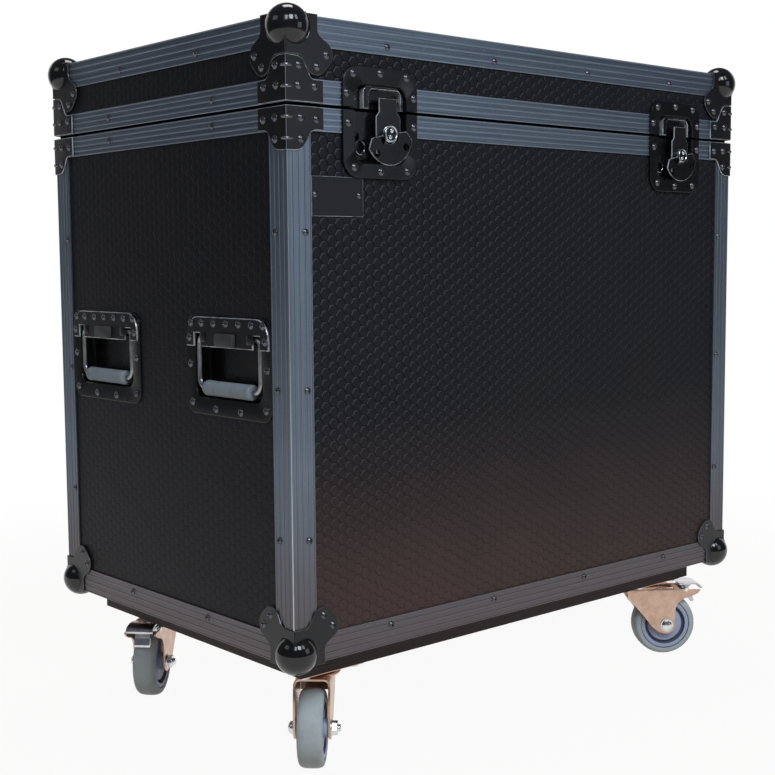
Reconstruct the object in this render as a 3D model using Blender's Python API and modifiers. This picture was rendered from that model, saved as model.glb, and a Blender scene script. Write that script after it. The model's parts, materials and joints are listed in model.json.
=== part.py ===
# Wooden road trunk on castors, in metres.
# X runs along the front, the front faces -Y, Z is up and the floor is z = 0.
import math

import bmesh
import bpy
from mathutils import Matrix

# Clearances
gap = 0.0003                  # between pieces that touch
seam_gap = 0.003              # open line between lid and body
tongue_clearance = 0.001      # round the tongue in its groove

# Case
case_width = 0.870
case_depth = 0.560
case_height = 0.768           # underside of the edging to the top of the lid
lid_height = 0.102            # seam to the top of the lid
board_drop = 0.031            # castor board below the underside of the edging
board_inset = 0.040
wood = 0.009                  # plywood of walls, lid and floor

# Aluminium edging
edge_wall = 0.002
edge_width = 0.035            # leg of the angle at the top, bottom and posts
rim_height = 0.030            # seam to the far side of a rim extrusion
rim_web = 0.005
rim_leg = 0.0024              # inner leg
rim_leg_height = 0.012
tongue_inset = 0.005          # outer face of the case to the tongue
tongue_width = 0.003
tongue_height = 0.0035        # above the seam
groove_depth = 0.004

# Corner braces
brace_plate = 0.0018
brace_margin = 0.001          # bare strip of rim above and below
brace_reach = 0.054           # arm along the rim, from the arris
lid_tongue_reach = 0.029      # half width of the tongue on the post
lid_tongue_tip = 0.016
lid_tongue_chamfer = 0.017
lid_brace_length = 0.055      # seam to the tip of the tongue
body_tongue_reach = 0.038
body_tongue_tip = 0.019
body_tongue_chamfer = 0.022
body_brace_length = 0.054

# Ball corners
ball_radius = 0.026
ball_inset = 0.013            # centre of the ball from each face
corner_plate = 0.0015
corner_neck = 0.046           # plate along an arris
corner_neck_side = 0.016      # how far the neck keeps that width
corner_hip_side = 0.026
corner_flare = 0.068          # furthest reach of an ear
corner_flare_side = 0.040
corner_ear = 0.006
corner_foot = 0.036           # square plate under the base

# Handles
handle_inset = 0.129          # front or back face to the middle of a dish
handle_height = 0.354         # above the underside of the edging
dish_width = 0.187
dish_height = 0.125
dish_corner = 0.018
flange = 0.0018
pan_wall = 0.0015
handle_opening_width = 0.146
handle_opening_bottom = -0.041
handle_opening_top = 0.046
handle_pan_depth = 0.024
cover_width = 0.178
cover_bottom = 0.024
cover_corner = 0.020
cover_plate = 0.002
bump_width = 0.040
bump_height = 0.017
bump_bottom = 0.025
bump_proud = 0.005
bail_wire = 0.0035            # radius
bail_half_width = 0.0665
bail_pivot_height = 0.036     # above the middle of the dish
bail_length = 0.0645          # pivot to the middle of the grip
bail_corner = 0.013
bail_shoulder = 0.008
trunnion_end = 0.048
trunnion_cover = 0.002        # bearing past the end of the wire
bearing_width = 0.012
bearing_height = 0.014
slot_clearance = 0.0015
grip_radius = 0.010
grip_length = 0.100

# Butterfly latches
latch_inset = 0.142           # end face to the middle of a dish
latch_width = 0.120
latch_above = 0.051           # top of the dish above the seam
latch_below = 0.082
latch_corner = 0.018
latch_opening_width = 0.083
latch_opening_above = 0.030
latch_opening_below = 0.064
latch_floor = 0.0012
ring_x = -0.0265              # padlock ring
ring_drop = 0.0445
ring_radius = 0.0072
ring_wire = 0.0012
works_offset = 0.012          # working parts sit right of the middle of the dish
hook_width = 0.029
hook_base_width = 0.039
hook_plate = 0.0016
hook_top = 0.015              # above the seam
hook_step = -0.0015
hook_slope = 0.006            # height of the shoulder
hook_bottom = -0.052
hook_claw = 0.006
hook_claw_height = 0.0025
hook_travel = 0.010
keeper_width = 0.056
keeper_top = 0.010
keeper_slot_clearance = 0.001
slide_clearance = 0.0006      # round the shaft in the hook's slot
spindle_drop = 0.0275         # axis below the seam
shaft_radius = 0.005
boss_radius = 0.010
boss_front = 0.0080           # proud of the edging
boss_wall = 0.002             # in front of the shaft
pin_radius = 0.0016
pin_reach = 0.0135
pin_proud = 0.0052
wing_plate = 0.0016
wing_radius = 0.038
wing_half_angle = math.radians(70)
wing_shoulder = 0.0285        # reach where the rounded sides start
wing_root_angle = math.radians(80)
wing_twist = math.radians(11)
wing_hole_radius = 0.0048
wing_hole_distance = 0.031
wing_hole_angle = math.radians(51)
lug_width = 0.0018
lug_rim = 0.0012              # round the pin
lug_clearance = 0.0004

# Hinges
hinge_inset = 0.175           # end face to the middle of a leaf
hinge_width = 0.064
hinge_plate = 0.002
hinge_leaf_height = 0.026
knuckle_radius = 0.0036
knuckle_length = 0.024
hinge_pin_radius = 0.0018
hinge_axis_proud = 0.0043     # behind the back face of the case
knuckle_clearance = 0.0006
knuckle_root = 0.002          # leaf carried up beside the knuckle

# Castors
castor_height = 0.125
castor_inset_x = 0.100
castor_inset_y = 0.088
plate_length = 0.105
plate_width = 0.085
plate_thickness = 0.003
race_radius = 0.030
race_height = 0.006
crown_radius = 0.033
crown_height = 0.004
wheel_radius = 0.050
wheel_trail = 0.038
tyre_width = 0.032
hub_width = 0.041
hub_radius = 0.012
groove_radius = 0.033         # hub's face lies back inside this
wheel_recess = 0.004
tyre_shoulder = 0.004
bolt_radius = 0.005
nut_radius = 0.0105
nut_height = 0.012
head_height = 0.008
fork_leg = 0.003
fork_lead = 0.028             # leading edge ahead of the swivel
fork_foot = 0.0143            # rounded foot round the axle bolt
fork_toe = 0.020              # leading corner of the foot, ahead of the axle
fork_arm_reach = 0.094        # braked forks reach past the wheel
fork_arm_height = 0.017
brake_reach = 0.100
brake_inner = 0.047           # inner end of the pedal
brake_plate = 0.0025
brake_lip = 0.012
brake_pivot_x = 0.070
brake_pivot_drop = 0.008      # below the top of the crown
brake_pin = 0.002
brake_eye = 0.0045
brake_tab = 0.034             # height of the rocker
brake_tab_out = 0.017
brake_tab_width = 0.024
brake_lift = 0.002            # pedal above the fork's arms
brake_clearance = 0.0008

# Nameplate, left bare
nameplate_width = 0.079
nameplate_height = 0.047
nameplate_plate = 0.0012
nameplate_from_left = 0.0755  # centre from the left face
nameplate_below_seam = 0.105   # centre below the seam

# Levels
base_z = castor_height + board_drop
top_z = base_z + case_height
seam_z = top_z - lid_height
lid_rim_bottom = seam_z + seam_gap / 2
lid_rim_top = seam_z + rim_height
body_rim_top = seam_z - seam_gap / 2
body_rim_bottom = seam_z - rim_height
wood_inset = edge_wall + gap
leg_inset = wood_inset + wood + gap
floor_bottom = base_z + edge_wall + gap
floor_top = floor_bottom + wood
half_width = case_width / 2
half_depth = case_depth / 2
handle_pitch = case_depth - 2 * handle_inset
latch_pitch = case_width - 2 * latch_inset
hinge_pitch = case_width - 2 * hinge_inset
beyond = 0.05                 # how far a cutter runs past what it cuts


for old in list(bpy.data.objects):
    bpy.data.objects.remove(old, do_unlink=True)

trunk = bpy.data.collections.new("road_trunk")
cutters = bpy.data.collections.new("cutters")
bpy.context.scene.collection.children.link(trunk)
bpy.context.scene.collection.children.link(cutters)


# Finishes

def finish(name, colour, metallic, roughness):
    material = bpy.data.materials.new(name)
    material.use_nodes = True
    shader = material.node_tree.nodes["Principled BSDF"]
    shader.inputs["Base Color"].default_value = (*colour, 1)
    shader.inputs["Metallic"].default_value = metallic
    shader.inputs["Roughness"].default_value = roughness
    return material


looks = {
    "film": ((0.020, 0.019, 0.021), 0, 0.55),
    "aluminium": ((0.16, 0.18, 0.21), 0.9, 0.40),
    "black_steel": ((0.015, 0.015, 0.016), 0.6, 0.30),
    "board": ((0.06, 0.035, 0.028), 0, 0.60),
    "zinc": ((0.62, 0.58, 0.52), 1, 0.30),
    "tyre": ((0.36, 0.36, 0.37), 0, 0.60),
    "grip": ((0.20, 0.23, 0.24), 0, 0.70),
}


# Modelling helpers: each solid is made round the origin and placed by its mesh.

def in_collection(solid, collection):
    for owner in list(solid.users_collection):
        owner.objects.unlink(solid)
    collection.objects.link(solid)


def box(low, high):
    bpy.ops.mesh.primitive_cube_add(size=1)
    solid = bpy.context.object
    size = [b - a for a, b in zip(low, high)]
    middle = [(a + b) / 2 for a, b in zip(low, high)]
    solid.data.transform(Matrix.Translation(middle) @ Matrix.Diagonal((*size, 1)))
    return solid


def cylinder(radius, start, end, axis="Z", sides=24):
    bpy.ops.mesh.primitive_cylinder_add(radius=radius, depth=1, vertices=sides)
    solid = bpy.context.object
    turn = {
        "X": Matrix.Rotation(math.pi / 2, 4, "Y"),
        "Y": Matrix.Rotation(-math.pi / 2, 4, "X"),
        "Z": Matrix.Identity(4),
    }[axis]
    index = "XYZ".index(axis)
    length = abs(end[index] - start[index])
    middle = [(a + b) / 2 for a, b in zip(start, end)]
    solid.data.transform(Matrix.Translation(middle) @ turn @ Matrix.Diagonal((1, 1, length, 1)))
    return solid


def baked(solid):
    graph = bpy.context.evaluated_depsgraph_get()
    mesh = bpy.data.meshes.new_from_object(solid.evaluated_get(graph))
    mesh.transform(solid.matrix_world)
    tools = [m.object for m in solid.modifiers if m.type == "BOOLEAN"]
    for used in [solid, *tools]:
        bpy.data.objects.remove(used, do_unlink=True)
    shape = bmesh.new()
    shape.from_mesh(mesh)
    bmesh.ops.remove_doubles(shape, verts=shape.verts, dist=0.00001)
    bmesh.ops.recalc_face_normals(shape, faces=shape.faces)
    shape.to_mesh(mesh)
    shape.free()
    return mesh


def solid_from(mesh):
    solid = bpy.data.objects.new("tool", mesh)
    cutters.objects.link(solid)
    return solid


def plate(points, thickness):
    """Flat outline in local X and Y, centred on z = 0."""
    outline = bpy.data.curves.new("outline", "CURVE")
    outline.dimensions = "2D"
    outline.fill_mode = "BOTH"
    outline.extrude = thickness / 2
    spline = outline.splines.new("POLY")
    spline.points.add(len(points) - 1)
    for point, (x, y) in zip(spline.points, points):
        point.co = (x, y, 0, 1)
    spline.use_cyclic_u = True
    curve = bpy.data.objects.new("outline", outline)
    cutters.objects.link(curve)
    return solid_from(baked(curve))


def wire(points, radius, cyclic=False):
    line = bpy.data.curves.new("wire", "CURVE")
    line.dimensions = "3D"
    line.bevel_depth = radius
    line.bevel_resolution = 2
    line.use_fill_caps = True
    spline = line.splines.new("POLY")
    spline.points.add(len(points) - 1)
    for point, place in zip(spline.points, points):
        point.co = (*place, 1)
    spline.use_cyclic_u = cyclic
    curve = bpy.data.objects.new("wire", line)
    cutters.objects.link(curve)
    return solid_from(baked(curve))


def turned(profile, sides):
    """Closed profile of (radius, y) turned about the Y axis."""
    mesh = bpy.data.meshes.new("profile")
    count = len(profile)
    edges = [(i, (i + 1) % count) for i in range(count)]
    mesh.from_pydata([(r, y, 0) for r, y in profile], edges, [])
    solid = solid_from(mesh)
    screw = solid.modifiers.new("turn", "SCREW")
    screw.axis = "Y"
    screw.steps = sides
    screw.render_steps = sides
    screw.merge_threshold = 0.00001
    return solid_from(baked(solid))


def arc(centre, radius, start, end, steps):
    turn = (end - start) / steps
    return [(centre[0] + radius * math.cos(start + turn * i),
             centre[1] + radius * math.sin(start + turn * i)) for i in range(steps + 1)]


def facing(depth):
    """Take an outline in X and Y to X and Z at a depth."""
    return Matrix(((1, 0, 0, 0), (0, 0, -1, depth), (0, 1, 0, 0), (0, 0, 0, 1)))


swap_sides = Matrix(((0, 1, 0, 0), (1, 0, 0, 0), (0, 0, 1, 0), (0, 0, 0, 1)))


def moved(solid, matrix):
    solid.data.transform(matrix)
    return solid


def combine(solid, tool, operation):
    modifier = solid.modifiers.new(operation.lower(), "BOOLEAN")
    modifier.operation = operation
    modifier.solver = "EXACT"
    modifier.object = tool
    in_collection(tool, cutters)
    tool.hide_render = True
    tool.display_type = "WIRE"
    return solid


def cut(solid, *tools):
    for tool in tools:
        combine(solid, tool, "DIFFERENCE")
    return solid


def fuse(solid, *tools):
    for tool in tools:
        combine(solid, tool, "UNION")
    return solid


def piece(name, solid, look):
    """Name a solid, give it its own finish and put it with the parts."""
    solid.name = name
    solid.data.name = name
    solid.data.materials.clear()
    solid.data.materials.append(finish(name, *looks[look]))
    for modifier in solid.modifiers:
        modifier.object.name = f"{name}_{modifier.name}"
    in_collection(solid, trunk)
    return solid


def copy_of(name, mesh, look, parent=None, place=Matrix.Identity(4)):
    solid = piece(name, bpy.data.objects.new(name, mesh.copy()), look)
    solid.data.shade_smooth()
    solid.data.set_sharp_from_angle(angle=math.radians(35))
    solid.parent = parent
    solid.matrix_local = place
    return solid


def pivot(name, place, heading=0, parent=None):
    """Empty on a joint's axis, turned by its heading."""
    empty = bpy.data.objects.new(name, None)
    empty.empty_display_size = 0.03
    trunk.objects.link(empty)
    empty.parent = parent
    empty.location = place
    empty.rotation_euler = (0, 0, heading)
    return empty


def case_box(inset, low, high):
    x = half_width - inset
    y = half_depth - inset
    return box((-x, -y, low), (x, y, high))


def ring(outer_inset, inner_inset, low, high):
    inner = case_box(inner_inset, low - beyond, high + beyond)
    return solid_from(baked(cut(case_box(outer_inset, low, high), inner)))


def latch_space(low, high):
    """Room for both latch pans, cut from the front."""
    reach = latch_opening_width / 2 + pan_wall + gap
    spaces = []
    for side in (-1, 1):
        x = side * latch_pitch / 2
        spaces.append(box((x - reach, -half_depth - beyond, low),
                          (x + reach, -half_depth + leg_inset, high)))
    return spaces


# Lid and body

def brace(rim_edge, rim_far, tip, reach, narrow, chamfer):
    """Pressed angle over a corner of a rim; its tongue lies on the post."""
    outer = brace_plate + gap
    root = edge_wall / 2
    clear = brace_reach + outer
    near = rim_edge + math.copysign(brace_margin, tip)
    far = rim_far - math.copysign(brace_margin, tip)
    past = 2 * tip
    angle = box((-outer, -outer, min(near, tip)), (brace_reach, brace_reach, max(near, tip)))
    in_rim = box((root, root, min(-past, past)), (clear, clear, max(-past, past)))
    ledge = (far + rim_far) / 2
    off_post = box((-gap, -gap, min(ledge, past)), (clear, clear, max(ledge, past)))
    notch = [(clear, far), (reach, far), (reach, tip - math.copysign(chamfer, tip)), (narrow, tip),
             (narrow, past), (clear, past)]
    front = moved(plate(notch, clear), facing(0))
    side = moved(solid_from(front.data.copy()), swap_sides)
    side.data.flip_normals()
    return baked(cut(angle, in_rim, off_post, front, side))


def corners():
    """Name and sides of the four upright arrises."""
    for x, across in ((-1, "left"), (1, "right")):
        for y, along in ((-1, "front"), (1, "back")):
            yield f"{along}_{across}", x, y


def at_corner(mesh, x, y, flip=1):
    """A copy of what was drawn at the front left top, mirrored to its corner."""
    shape = mesh.copy()
    shape.transform(Matrix.Diagonal((-x, -y, flip, 1)))
    if x * y * flip < 0:
        shape.flip_normals()
    return shape


def add_braces(frame, mesh):
    for _, x, y in corners():
        place = Matrix.Translation((x * half_width, y * half_depth, seam_z))
        fuse(frame, moved(solid_from(at_corner(mesh, x, y)), place))


def rim(low, high, web_low, web_high, leg_low, leg_high):
    frame = ring(0, edge_wall, low, high)
    web = ring(0, leg_inset + rim_leg, web_low, web_high)
    leg = ring(leg_inset, leg_inset + rim_leg, leg_low, leg_high)
    return fuse(frame, web, leg)


def lid():
    wall_bottom = lid_rim_bottom + rim_web + gap
    wood_top = top_z - edge_wall - gap
    shell = case_box(wood_inset, wall_bottom, wood_top)
    room = case_box(wood_inset + wood, wall_bottom - beyond, wood_top - wood)
    cut(shell, room, *latch_space(wall_bottom - beyond, latch_pan_top()))
    piece("lid_shell", shell, "film")

    post_bottom = lid_rim_top + gap
    edging = case_box(0, post_bottom, top_z)
    cut(edging, case_box(edge_wall, post_bottom - beyond, top_z - edge_wall),
        case_box(edge_width, post_bottom - beyond, top_z + beyond),
        *windows(post_bottom - beyond, top_z - edge_width))
    piece("lid_edging", edging, "aluminium")

    frame = rim(lid_rim_bottom, lid_rim_top, lid_rim_bottom, lid_rim_bottom + rim_web,
                lid_rim_bottom, lid_rim_bottom + rim_leg_height)
    groove = ring(tongue_inset - tongue_clearance, tongue_inset + tongue_width + tongue_clearance,
                  lid_rim_bottom - beyond, lid_rim_bottom + groove_depth)
    cut(frame, groove, *latch_space(lid_rim_bottom - beyond, latch_pan_top()))
    add_braces(frame, brace(seam_gap / 2, rim_height, lid_brace_length, lid_tongue_reach, lid_tongue_tip,
                            lid_tongue_chamfer))
    piece("lid_rim_frame", frame, "aluminium")


def latch_pan_top():
    return seam_z + latch_opening_above + pan_wall + gap


def latch_pan_bottom():
    return seam_z - latch_opening_below - pan_wall - gap


def windows(low, high):
    """Openings between the posts, cut through both ways."""
    x = half_width - edge_width
    y = half_depth - edge_width
    return (box((-x, -half_depth - beyond, low), (x, half_depth + beyond, high)),
            box((-half_width - beyond, -y, low), (half_width + beyond, y, high)))


def body():
    post_top = body_rim_bottom - gap
    edging = case_box(0, base_z, post_top)
    cut(edging, case_box(edge_wall, base_z + edge_wall, post_top + beyond),
        case_box(edge_width, base_z - beyond, post_top + beyond),
        *windows(base_z + edge_width, post_top + beyond))
    piece("body_edging", edging, "aluminium")

    frame = rim(body_rim_bottom, body_rim_top, body_rim_top - rim_web, body_rim_top,
                body_rim_top - rim_leg_height, body_rim_top)
    tongue = ring(tongue_inset, tongue_inset + tongue_width, body_rim_top - rim_web, seam_z + tongue_height)
    fuse(frame, tongue)
    cut(frame, *latch_space(latch_pan_bottom(), seam_z + beyond))
    add_braces(frame, brace(-seam_gap / 2, -rim_height, -body_brace_length, body_tongue_reach,
                            body_tongue_tip, body_tongue_chamfer))
    piece("body_rim_frame", frame, "aluminium")

    wall_top = body_rim_top - rim_web - gap
    wall_bottom = floor_bottom
    x = half_width - wood_inset
    y = half_depth - wood_inset
    front = box((-x, -y, wall_bottom), (x, -y + wood, wall_top))
    cut(front, *latch_space(latch_pan_bottom(), wall_top + beyond))
    piece("front_panel", front, "film")
    piece("back_panel", box((-x, y - wood, wall_bottom), (x, y, wall_top)), "film")
    side_y = y - wood - gap
    for name, side in (("left_panel", -1), ("right_panel", 1)):
        inner, outer = sorted((side * (x - wood), side * x))
        panel = box((inner, -side_y, wall_bottom), (outer, side_y, wall_top))
        cut(panel, *handle_spaces(side))
        piece(name, panel, "film")
    piece("floor_panel", case_box(leg_inset, floor_bottom, floor_top), "film")
    board = case_box(board_inset, castor_height + gap, floor_bottom - gap)
    piece("castor_board", board, "board")


def handle_spaces(side):
    reach = handle_opening_width / 2 + pan_wall + gap
    low = base_z + handle_height + handle_opening_bottom - pan_wall - gap
    high = base_z + handle_height + handle_opening_top + pan_wall + gap
    spaces = []
    for end in (-1, 1):
        y = end * handle_pitch / 2
        near, far = sorted((side * (half_width - beyond), side * (half_width + beyond)))
        spaces.append(box((near, y - reach, low), (far, y + reach, high)))
    return spaces


# Ball corners

def corner_outline(start):
    """One face of the cap, the same on both sides of its diagonal."""
    hip = (corner_flare + corner_neck) / 2
    ear = (corner_flare + corner_flare_side) / 2
    half = [(corner_neck, start), (corner_neck, corner_neck_side), (hip, corner_hip_side),
            (corner_flare, corner_flare_side), (ear + corner_ear, ear)]
    return [(start, start), *half, *[(b, a) for a, b in reversed(half)]]


def ball_corner(outline, foot):
    """Cap drawn at the front left top, its origin on the corner of the case."""
    outer = gap + corner_plate
    depth = corner_plate
    inward = (depth - outer) / 2
    front = moved(plate([(u, -v) for u, v in outline], outer + depth), facing(inward))
    side = moved(solid_from(front.data.copy()), swap_sides)
    side.data.flip_normals()
    flat = moved(plate(foot, outer + depth), Matrix.Translation((0, 0, -inward)))
    bpy.ops.mesh.primitive_uv_sphere_add(radius=ball_radius, segments=16, ring_count=10)
    ball = moved(bpy.context.object, Matrix.Translation((ball_inset, ball_inset, -ball_inset)))
    room = corner_flare + beyond
    return baked(cut(fuse(ball, front, side, flat), box((-gap, -gap, -room), (room, room, gap))))


def ball_corners():
    outline = corner_outline(-gap - corner_plate)
    start = outline[0][0]
    foot = [(start, start), (corner_foot, start), (corner_foot, corner_foot), (start, corner_foot)]
    for level, z, flip, flat in (("lid", top_z, 1, outline), ("base", base_z, -1, foot)):
        mesh = ball_corner(outline, flat)
        for spot, x, y in corners():
            place = Matrix.Translation((x * half_width, y * half_depth, z))
            copy_of(f"{level}_corner_{spot}", at_corner(mesh, x, y, flip), "black_steel", place=place)


# Handles, drawn with +X pointing out of the case and the origin on the panel's face

def rounded(width, height, radius, steps=3):
    x = width / 2 - radius
    y = height / 2 - radius
    quarter = math.pi / 2
    points = []
    for index, (cx, cy) in enumerate(((x, y), (-x, y), (-x, -y), (x, -y))):
        points += arc((cx, cy), radius, quarter * index, quarter * (index + 1), steps)
    return points


upright = Matrix(((0, 0, 1, 0), (1, 0, 0, 0), (0, 1, 0, 0), (0, 0, 0, 1)))
handle_face = gap + flange
bail_depth = handle_face - gap - bail_wire


def handle_dish():
    rim_plate = plate(rounded(dish_width, dish_height, dish_corner), flange)
    moved(rim_plate, Matrix.Translation((gap + flange / 2, 0, 0)) @ upright)
    half = handle_opening_width / 2
    back = handle_face - handle_pan_depth
    pan = box((back, -half - pan_wall, handle_opening_bottom - pan_wall),
              (gap + flange / 2, half + pan_wall, handle_opening_top + pan_wall))
    hollow = box((back + pan_wall, -half, handle_opening_bottom),
                 (handle_face + beyond, half, handle_opening_top))
    dish = solid_from(baked(cut(fuse(rim_plate, pan), hollow)))
    x, top = cover_width / 2, dish_height / 2
    right = arc((x - cover_corner, top - cover_corner), cover_corner, 0, math.pi / 2, 3)
    outline = [(x, cover_bottom), *right, *[(-y, z) for y, z in reversed(right)], (-x, cover_bottom)]
    cover = moved(plate(outline, cover_plate + flange / 2),
                  Matrix.Translation((handle_face + cover_plate / 2 - flange / 4, 0, 0)) @ upright)
    bump = box((handle_face, -bump_width / 2, bump_bottom),
               (handle_face + cover_plate + bump_proud, bump_width / 2, bump_bottom + bump_height))
    fuse(cover, bump)
    cut(cover, box((-beyond, -half, -beyond), (handle_face, half, handle_opening_top)))
    for side in (-1, 1):
        slot_in = bail_half_width - bail_shoulder - slot_clearance
        slot_out = bail_half_width + bail_wire + slot_clearance
        low, high = sorted((side * slot_in, side * slot_out))
        cut(cover, box((-beyond, low, cover_bottom - beyond),
                       (beyond, high, bail_pivot_height + bail_wire + slot_clearance)))
    fuse(dish, solid_from(baked(cover)))
    for side in (-1, 1):
        inner = side * trunnion_end
        low, high = sorted((inner - side * trunnion_cover, inner + side * (bearing_width - trunnion_cover)))
        fuse(dish, box((back + pan_wall / 2, low, bail_pivot_height - bearing_height / 2),
                       (handle_face + cover_plate / 2, high, bail_pivot_height + bearing_height / 2)))
    bore = cylinder(bail_wire + gap, (bail_depth, -half, bail_pivot_height),
                    (bail_depth, half, bail_pivot_height), "Y", 10)
    return baked(cut(dish, bore))


def bail():
    """Wire handle, its origin on the pivots."""
    side = bail_half_width
    half = [(trunnion_end, 0)]
    half += arc((side - bail_shoulder, -bail_shoulder), bail_shoulder, math.pi / 2, 0, 3)
    half += arc((side - bail_corner, bail_corner - bail_length), bail_corner, 0, -math.pi / 2, 4)
    line = [(0, y, z) for y, z in half] + [(0, -y, z) for y, z in reversed(half)]
    return baked(wire(line, bail_wire))


def grip():
    end = grip_length / 2
    place = (0, 0, -bail_length)
    sleeve = cylinder(grip_radius, (0, -end, -bail_length), (0, end, -bail_length), "Y", 16)
    bore = cylinder(bail_wire + gap, (0, -end - beyond, place[2]), (0, end + beyond, place[2]), "Y", 12)
    return baked(cut(sleeve, bore))


def handles():
    dish_mesh, bail_mesh, grip_mesh = handle_dish(), bail(), grip()
    for end, side, heading in (("left", -1, math.pi), ("right", 1, 0)):
        for row, y in (("front", -handle_pitch / 2), ("back", handle_pitch / 2)):
            name = f"handle_{end}_{row}"
            place = (side * (half_width - wood_inset), y, base_z + handle_height)
            seat = pivot(f"{name}_seat", place, heading)
            copy_of(f"{name}_dish", dish_mesh, "black_steel", seat)
            hinge = pivot(f"{name}_pivot", (bail_depth, 0, bail_pivot_height), parent=seat)
            copy_of(f"{name}_bail", bail_mesh, "zinc", hinge)
            copy_of(f"{name}_grip", grip_mesh, "grip", hinge)


# Latches, drawn with the origin on the seam, in the face of the rims; y grows inwards

def latch_dish(up):
    reach = latch_width / 2
    edge = up * seam_gap / 2
    far = latch_above if up > 0 else -latch_below
    corner = up * latch_corner
    quarter = math.pi / 2
    right = arc((reach - latch_corner, far - corner), latch_corner, 0, up * quarter, 4)
    points = [(reach, edge), *right, *[(-x, z) for x, z in reversed(right)], (-reach, edge)]
    dish = moved(plate(points, flange), facing(-gap - flange / 2))
    half = latch_opening_width / 2
    opening = latch_opening_above if up > 0 else -latch_opening_below
    depth = leg_inset - gap
    low, high = sorted((edge, opening + up * pan_wall))
    pan = box((-half - pan_wall, -gap - flange / 2, low), (half + pan_wall, depth, high))
    low, high = sorted((edge - up * beyond, opening))
    hollow = box((-half, -beyond, low), (half, depth - latch_floor, high))
    dish = solid_from(baked(cut(fuse(dish, pan), hollow)))
    if up > 0:
        keeper = box((works_offset - keeper_width / 2, hook_plate / 2, edge),
                     (works_offset + keeper_width / 2, depth - latch_floor / 2, keeper_top))
        slot = hook_width / 2 + keeper_slot_clearance
        cut(keeper, box((works_offset - slot, -beyond, -beyond),
                        (works_offset + slot, depth - latch_floor, beyond)))
        fuse(dish, solid_from(baked(keeper)))
    else:
        bpy.ops.mesh.primitive_torus_add(major_radius=ring_radius, minor_radius=ring_wire,
                                         major_segments=12, minor_segments=6)
        turn = Matrix.Translation((ring_x, depth - latch_floor - ring_wire / 2, -ring_drop))
        fuse(dish, moved(bpy.context.object, turn @ Matrix.Rotation(math.pi / 2, 4, "X")))
    return baked(dish)


def hook():
    """Sliding plate with its claw, its origin on the spindle's axis."""
    rise = spindle_drop
    x, base = hook_width / 2, hook_base_width / 2
    outline = [(-base, hook_bottom + rise), (base, hook_bottom + rise),
               (base, hook_step - hook_slope + rise), (x, hook_step + rise),
               (x, hook_top + rise), (-x, hook_top + rise),
               (-x, hook_step + rise), (-base, hook_step - hook_slope + rise)]
    back = -gap
    solid = moved(plate(outline, hook_plate), facing(back - hook_plate / 2))
    claw = box((-x + keeper_slot_clearance, back - hook_plate, hook_top + rise - hook_claw_height),
               (x - keeper_slot_clearance, back + hook_claw, hook_top + rise))
    slot = shaft_radius + slide_clearance
    cut_low = cylinder(slot, (0, -beyond, -hook_travel), (0, beyond, -hook_travel), "Y", 16)
    cut_high = cylinder(slot, (0, -beyond, 0), (0, beyond, 0), "Y", 16)
    straight = box((-slot, -beyond, -hook_travel), (slot, beyond, 0))
    return baked(cut(fuse(solid, claw), cut_low, cut_high, straight))


def spindle():
    """Twist shaft with its boss and cross pin, its origin on the seam-side face."""
    inner = leg_inset - gap - latch_floor - gap
    front = -boss_front
    shaft = cylinder(shaft_radius, (0, front + boss_wall, 0), (0, inner, 0), "Y", 12)
    boss = cylinder(boss_radius, (0, front, 0), (0, -gap - hook_plate - gap, 0), "Y", 16)
    pin = cylinder(pin_radius, (-pin_reach, -pin_proud, 0), (pin_reach, -pin_proud, 0), "X", 10)
    moved(pin, Matrix.Rotation(-wing_twist, 4, "Y"))
    return baked(fuse(shaft, boss, pin))


def wing():
    """Fan-shaped thumb plate with two lugs, its origin on the cross pin."""
    back = flange + gap + gap
    lug_in = boss_radius + lug_clearance
    lug_out = lug_in + lug_width
    down = -math.pi / 2
    reach, rise = wing_shoulder * math.sin(wing_root_angle), -wing_shoulder * math.cos(wing_root_angle)
    fan = arc((0, 0), wing_radius, down - wing_half_angle, down + wing_half_angle, 9)
    fan = [(-reach, rise), *fan, (reach, rise)]
    root = lug_out / math.sin(wing_root_angle)
    fan += arc((0, 0), root, down + wing_root_angle, down - wing_root_angle, 6)
    sheet = moved(plate(fan, wing_plate), facing(-back - wing_plate / 2))
    for side in (-1, 1):
        angle = down + side * wing_hole_angle
        x, z = wing_hole_distance * math.cos(angle), wing_hole_distance * math.sin(angle)
        cut(sheet, cylinder(wing_hole_radius, (x, -beyond, z), (x, beyond, z), "Y", 10))
    for side in (-1, 1):
        low, high = sorted((side * lug_in, side * lug_out))
        fuse(sheet, box((low, -pin_proud - pin_radius - lug_rim, -root * 0.95), (high, -back, 0)),
             cylinder(pin_proud - back, (low, -pin_proud, 0), (high, -pin_proud, 0), "X", 10))
    cut(sheet, cylinder(pin_radius + lug_clearance, (-beyond, -pin_proud, 0),
                        (beyond, -pin_proud, 0), "X", 8))
    mesh = baked(sheet)
    mesh.transform(Matrix.Translation((0, pin_proud, 0)))
    return mesh


def latches():
    lid_dish, body_dish = latch_dish(1), latch_dish(-1)
    hook_mesh, spindle_mesh, wing_mesh = hook(), spindle(), wing()
    for side, x in (("left", -latch_pitch / 2), ("right", latch_pitch / 2)):
        name = f"latch_{side}"
        seat = pivot(f"{name}_seat", (x, -half_depth, seam_z))
        copy_of(f"{name}_lid_dish", lid_dish, "black_steel", seat)
        copy_of(f"{name}_body_dish", body_dish, "black_steel", seat)
        axis = pivot(f"{name}_axis", (works_offset, 0, -spindle_drop), parent=seat)
        copy_of(f"{name}_hook", hook_mesh, "black_steel", axis)
        copy_of(f"{name}_spindle", spindle_mesh, "black_steel", axis)
        fold = pivot(f"{name}_fold", (0, -pin_proud, 0), parent=axis)
        tilt = Matrix.Rotation(-wing_twist, 4, "Y")
        copy_of(f"{name}_wing", wing_mesh, "black_steel", fold, tilt)


# Hinges, drawn with the origin on the pin; y grows out of the back

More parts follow.
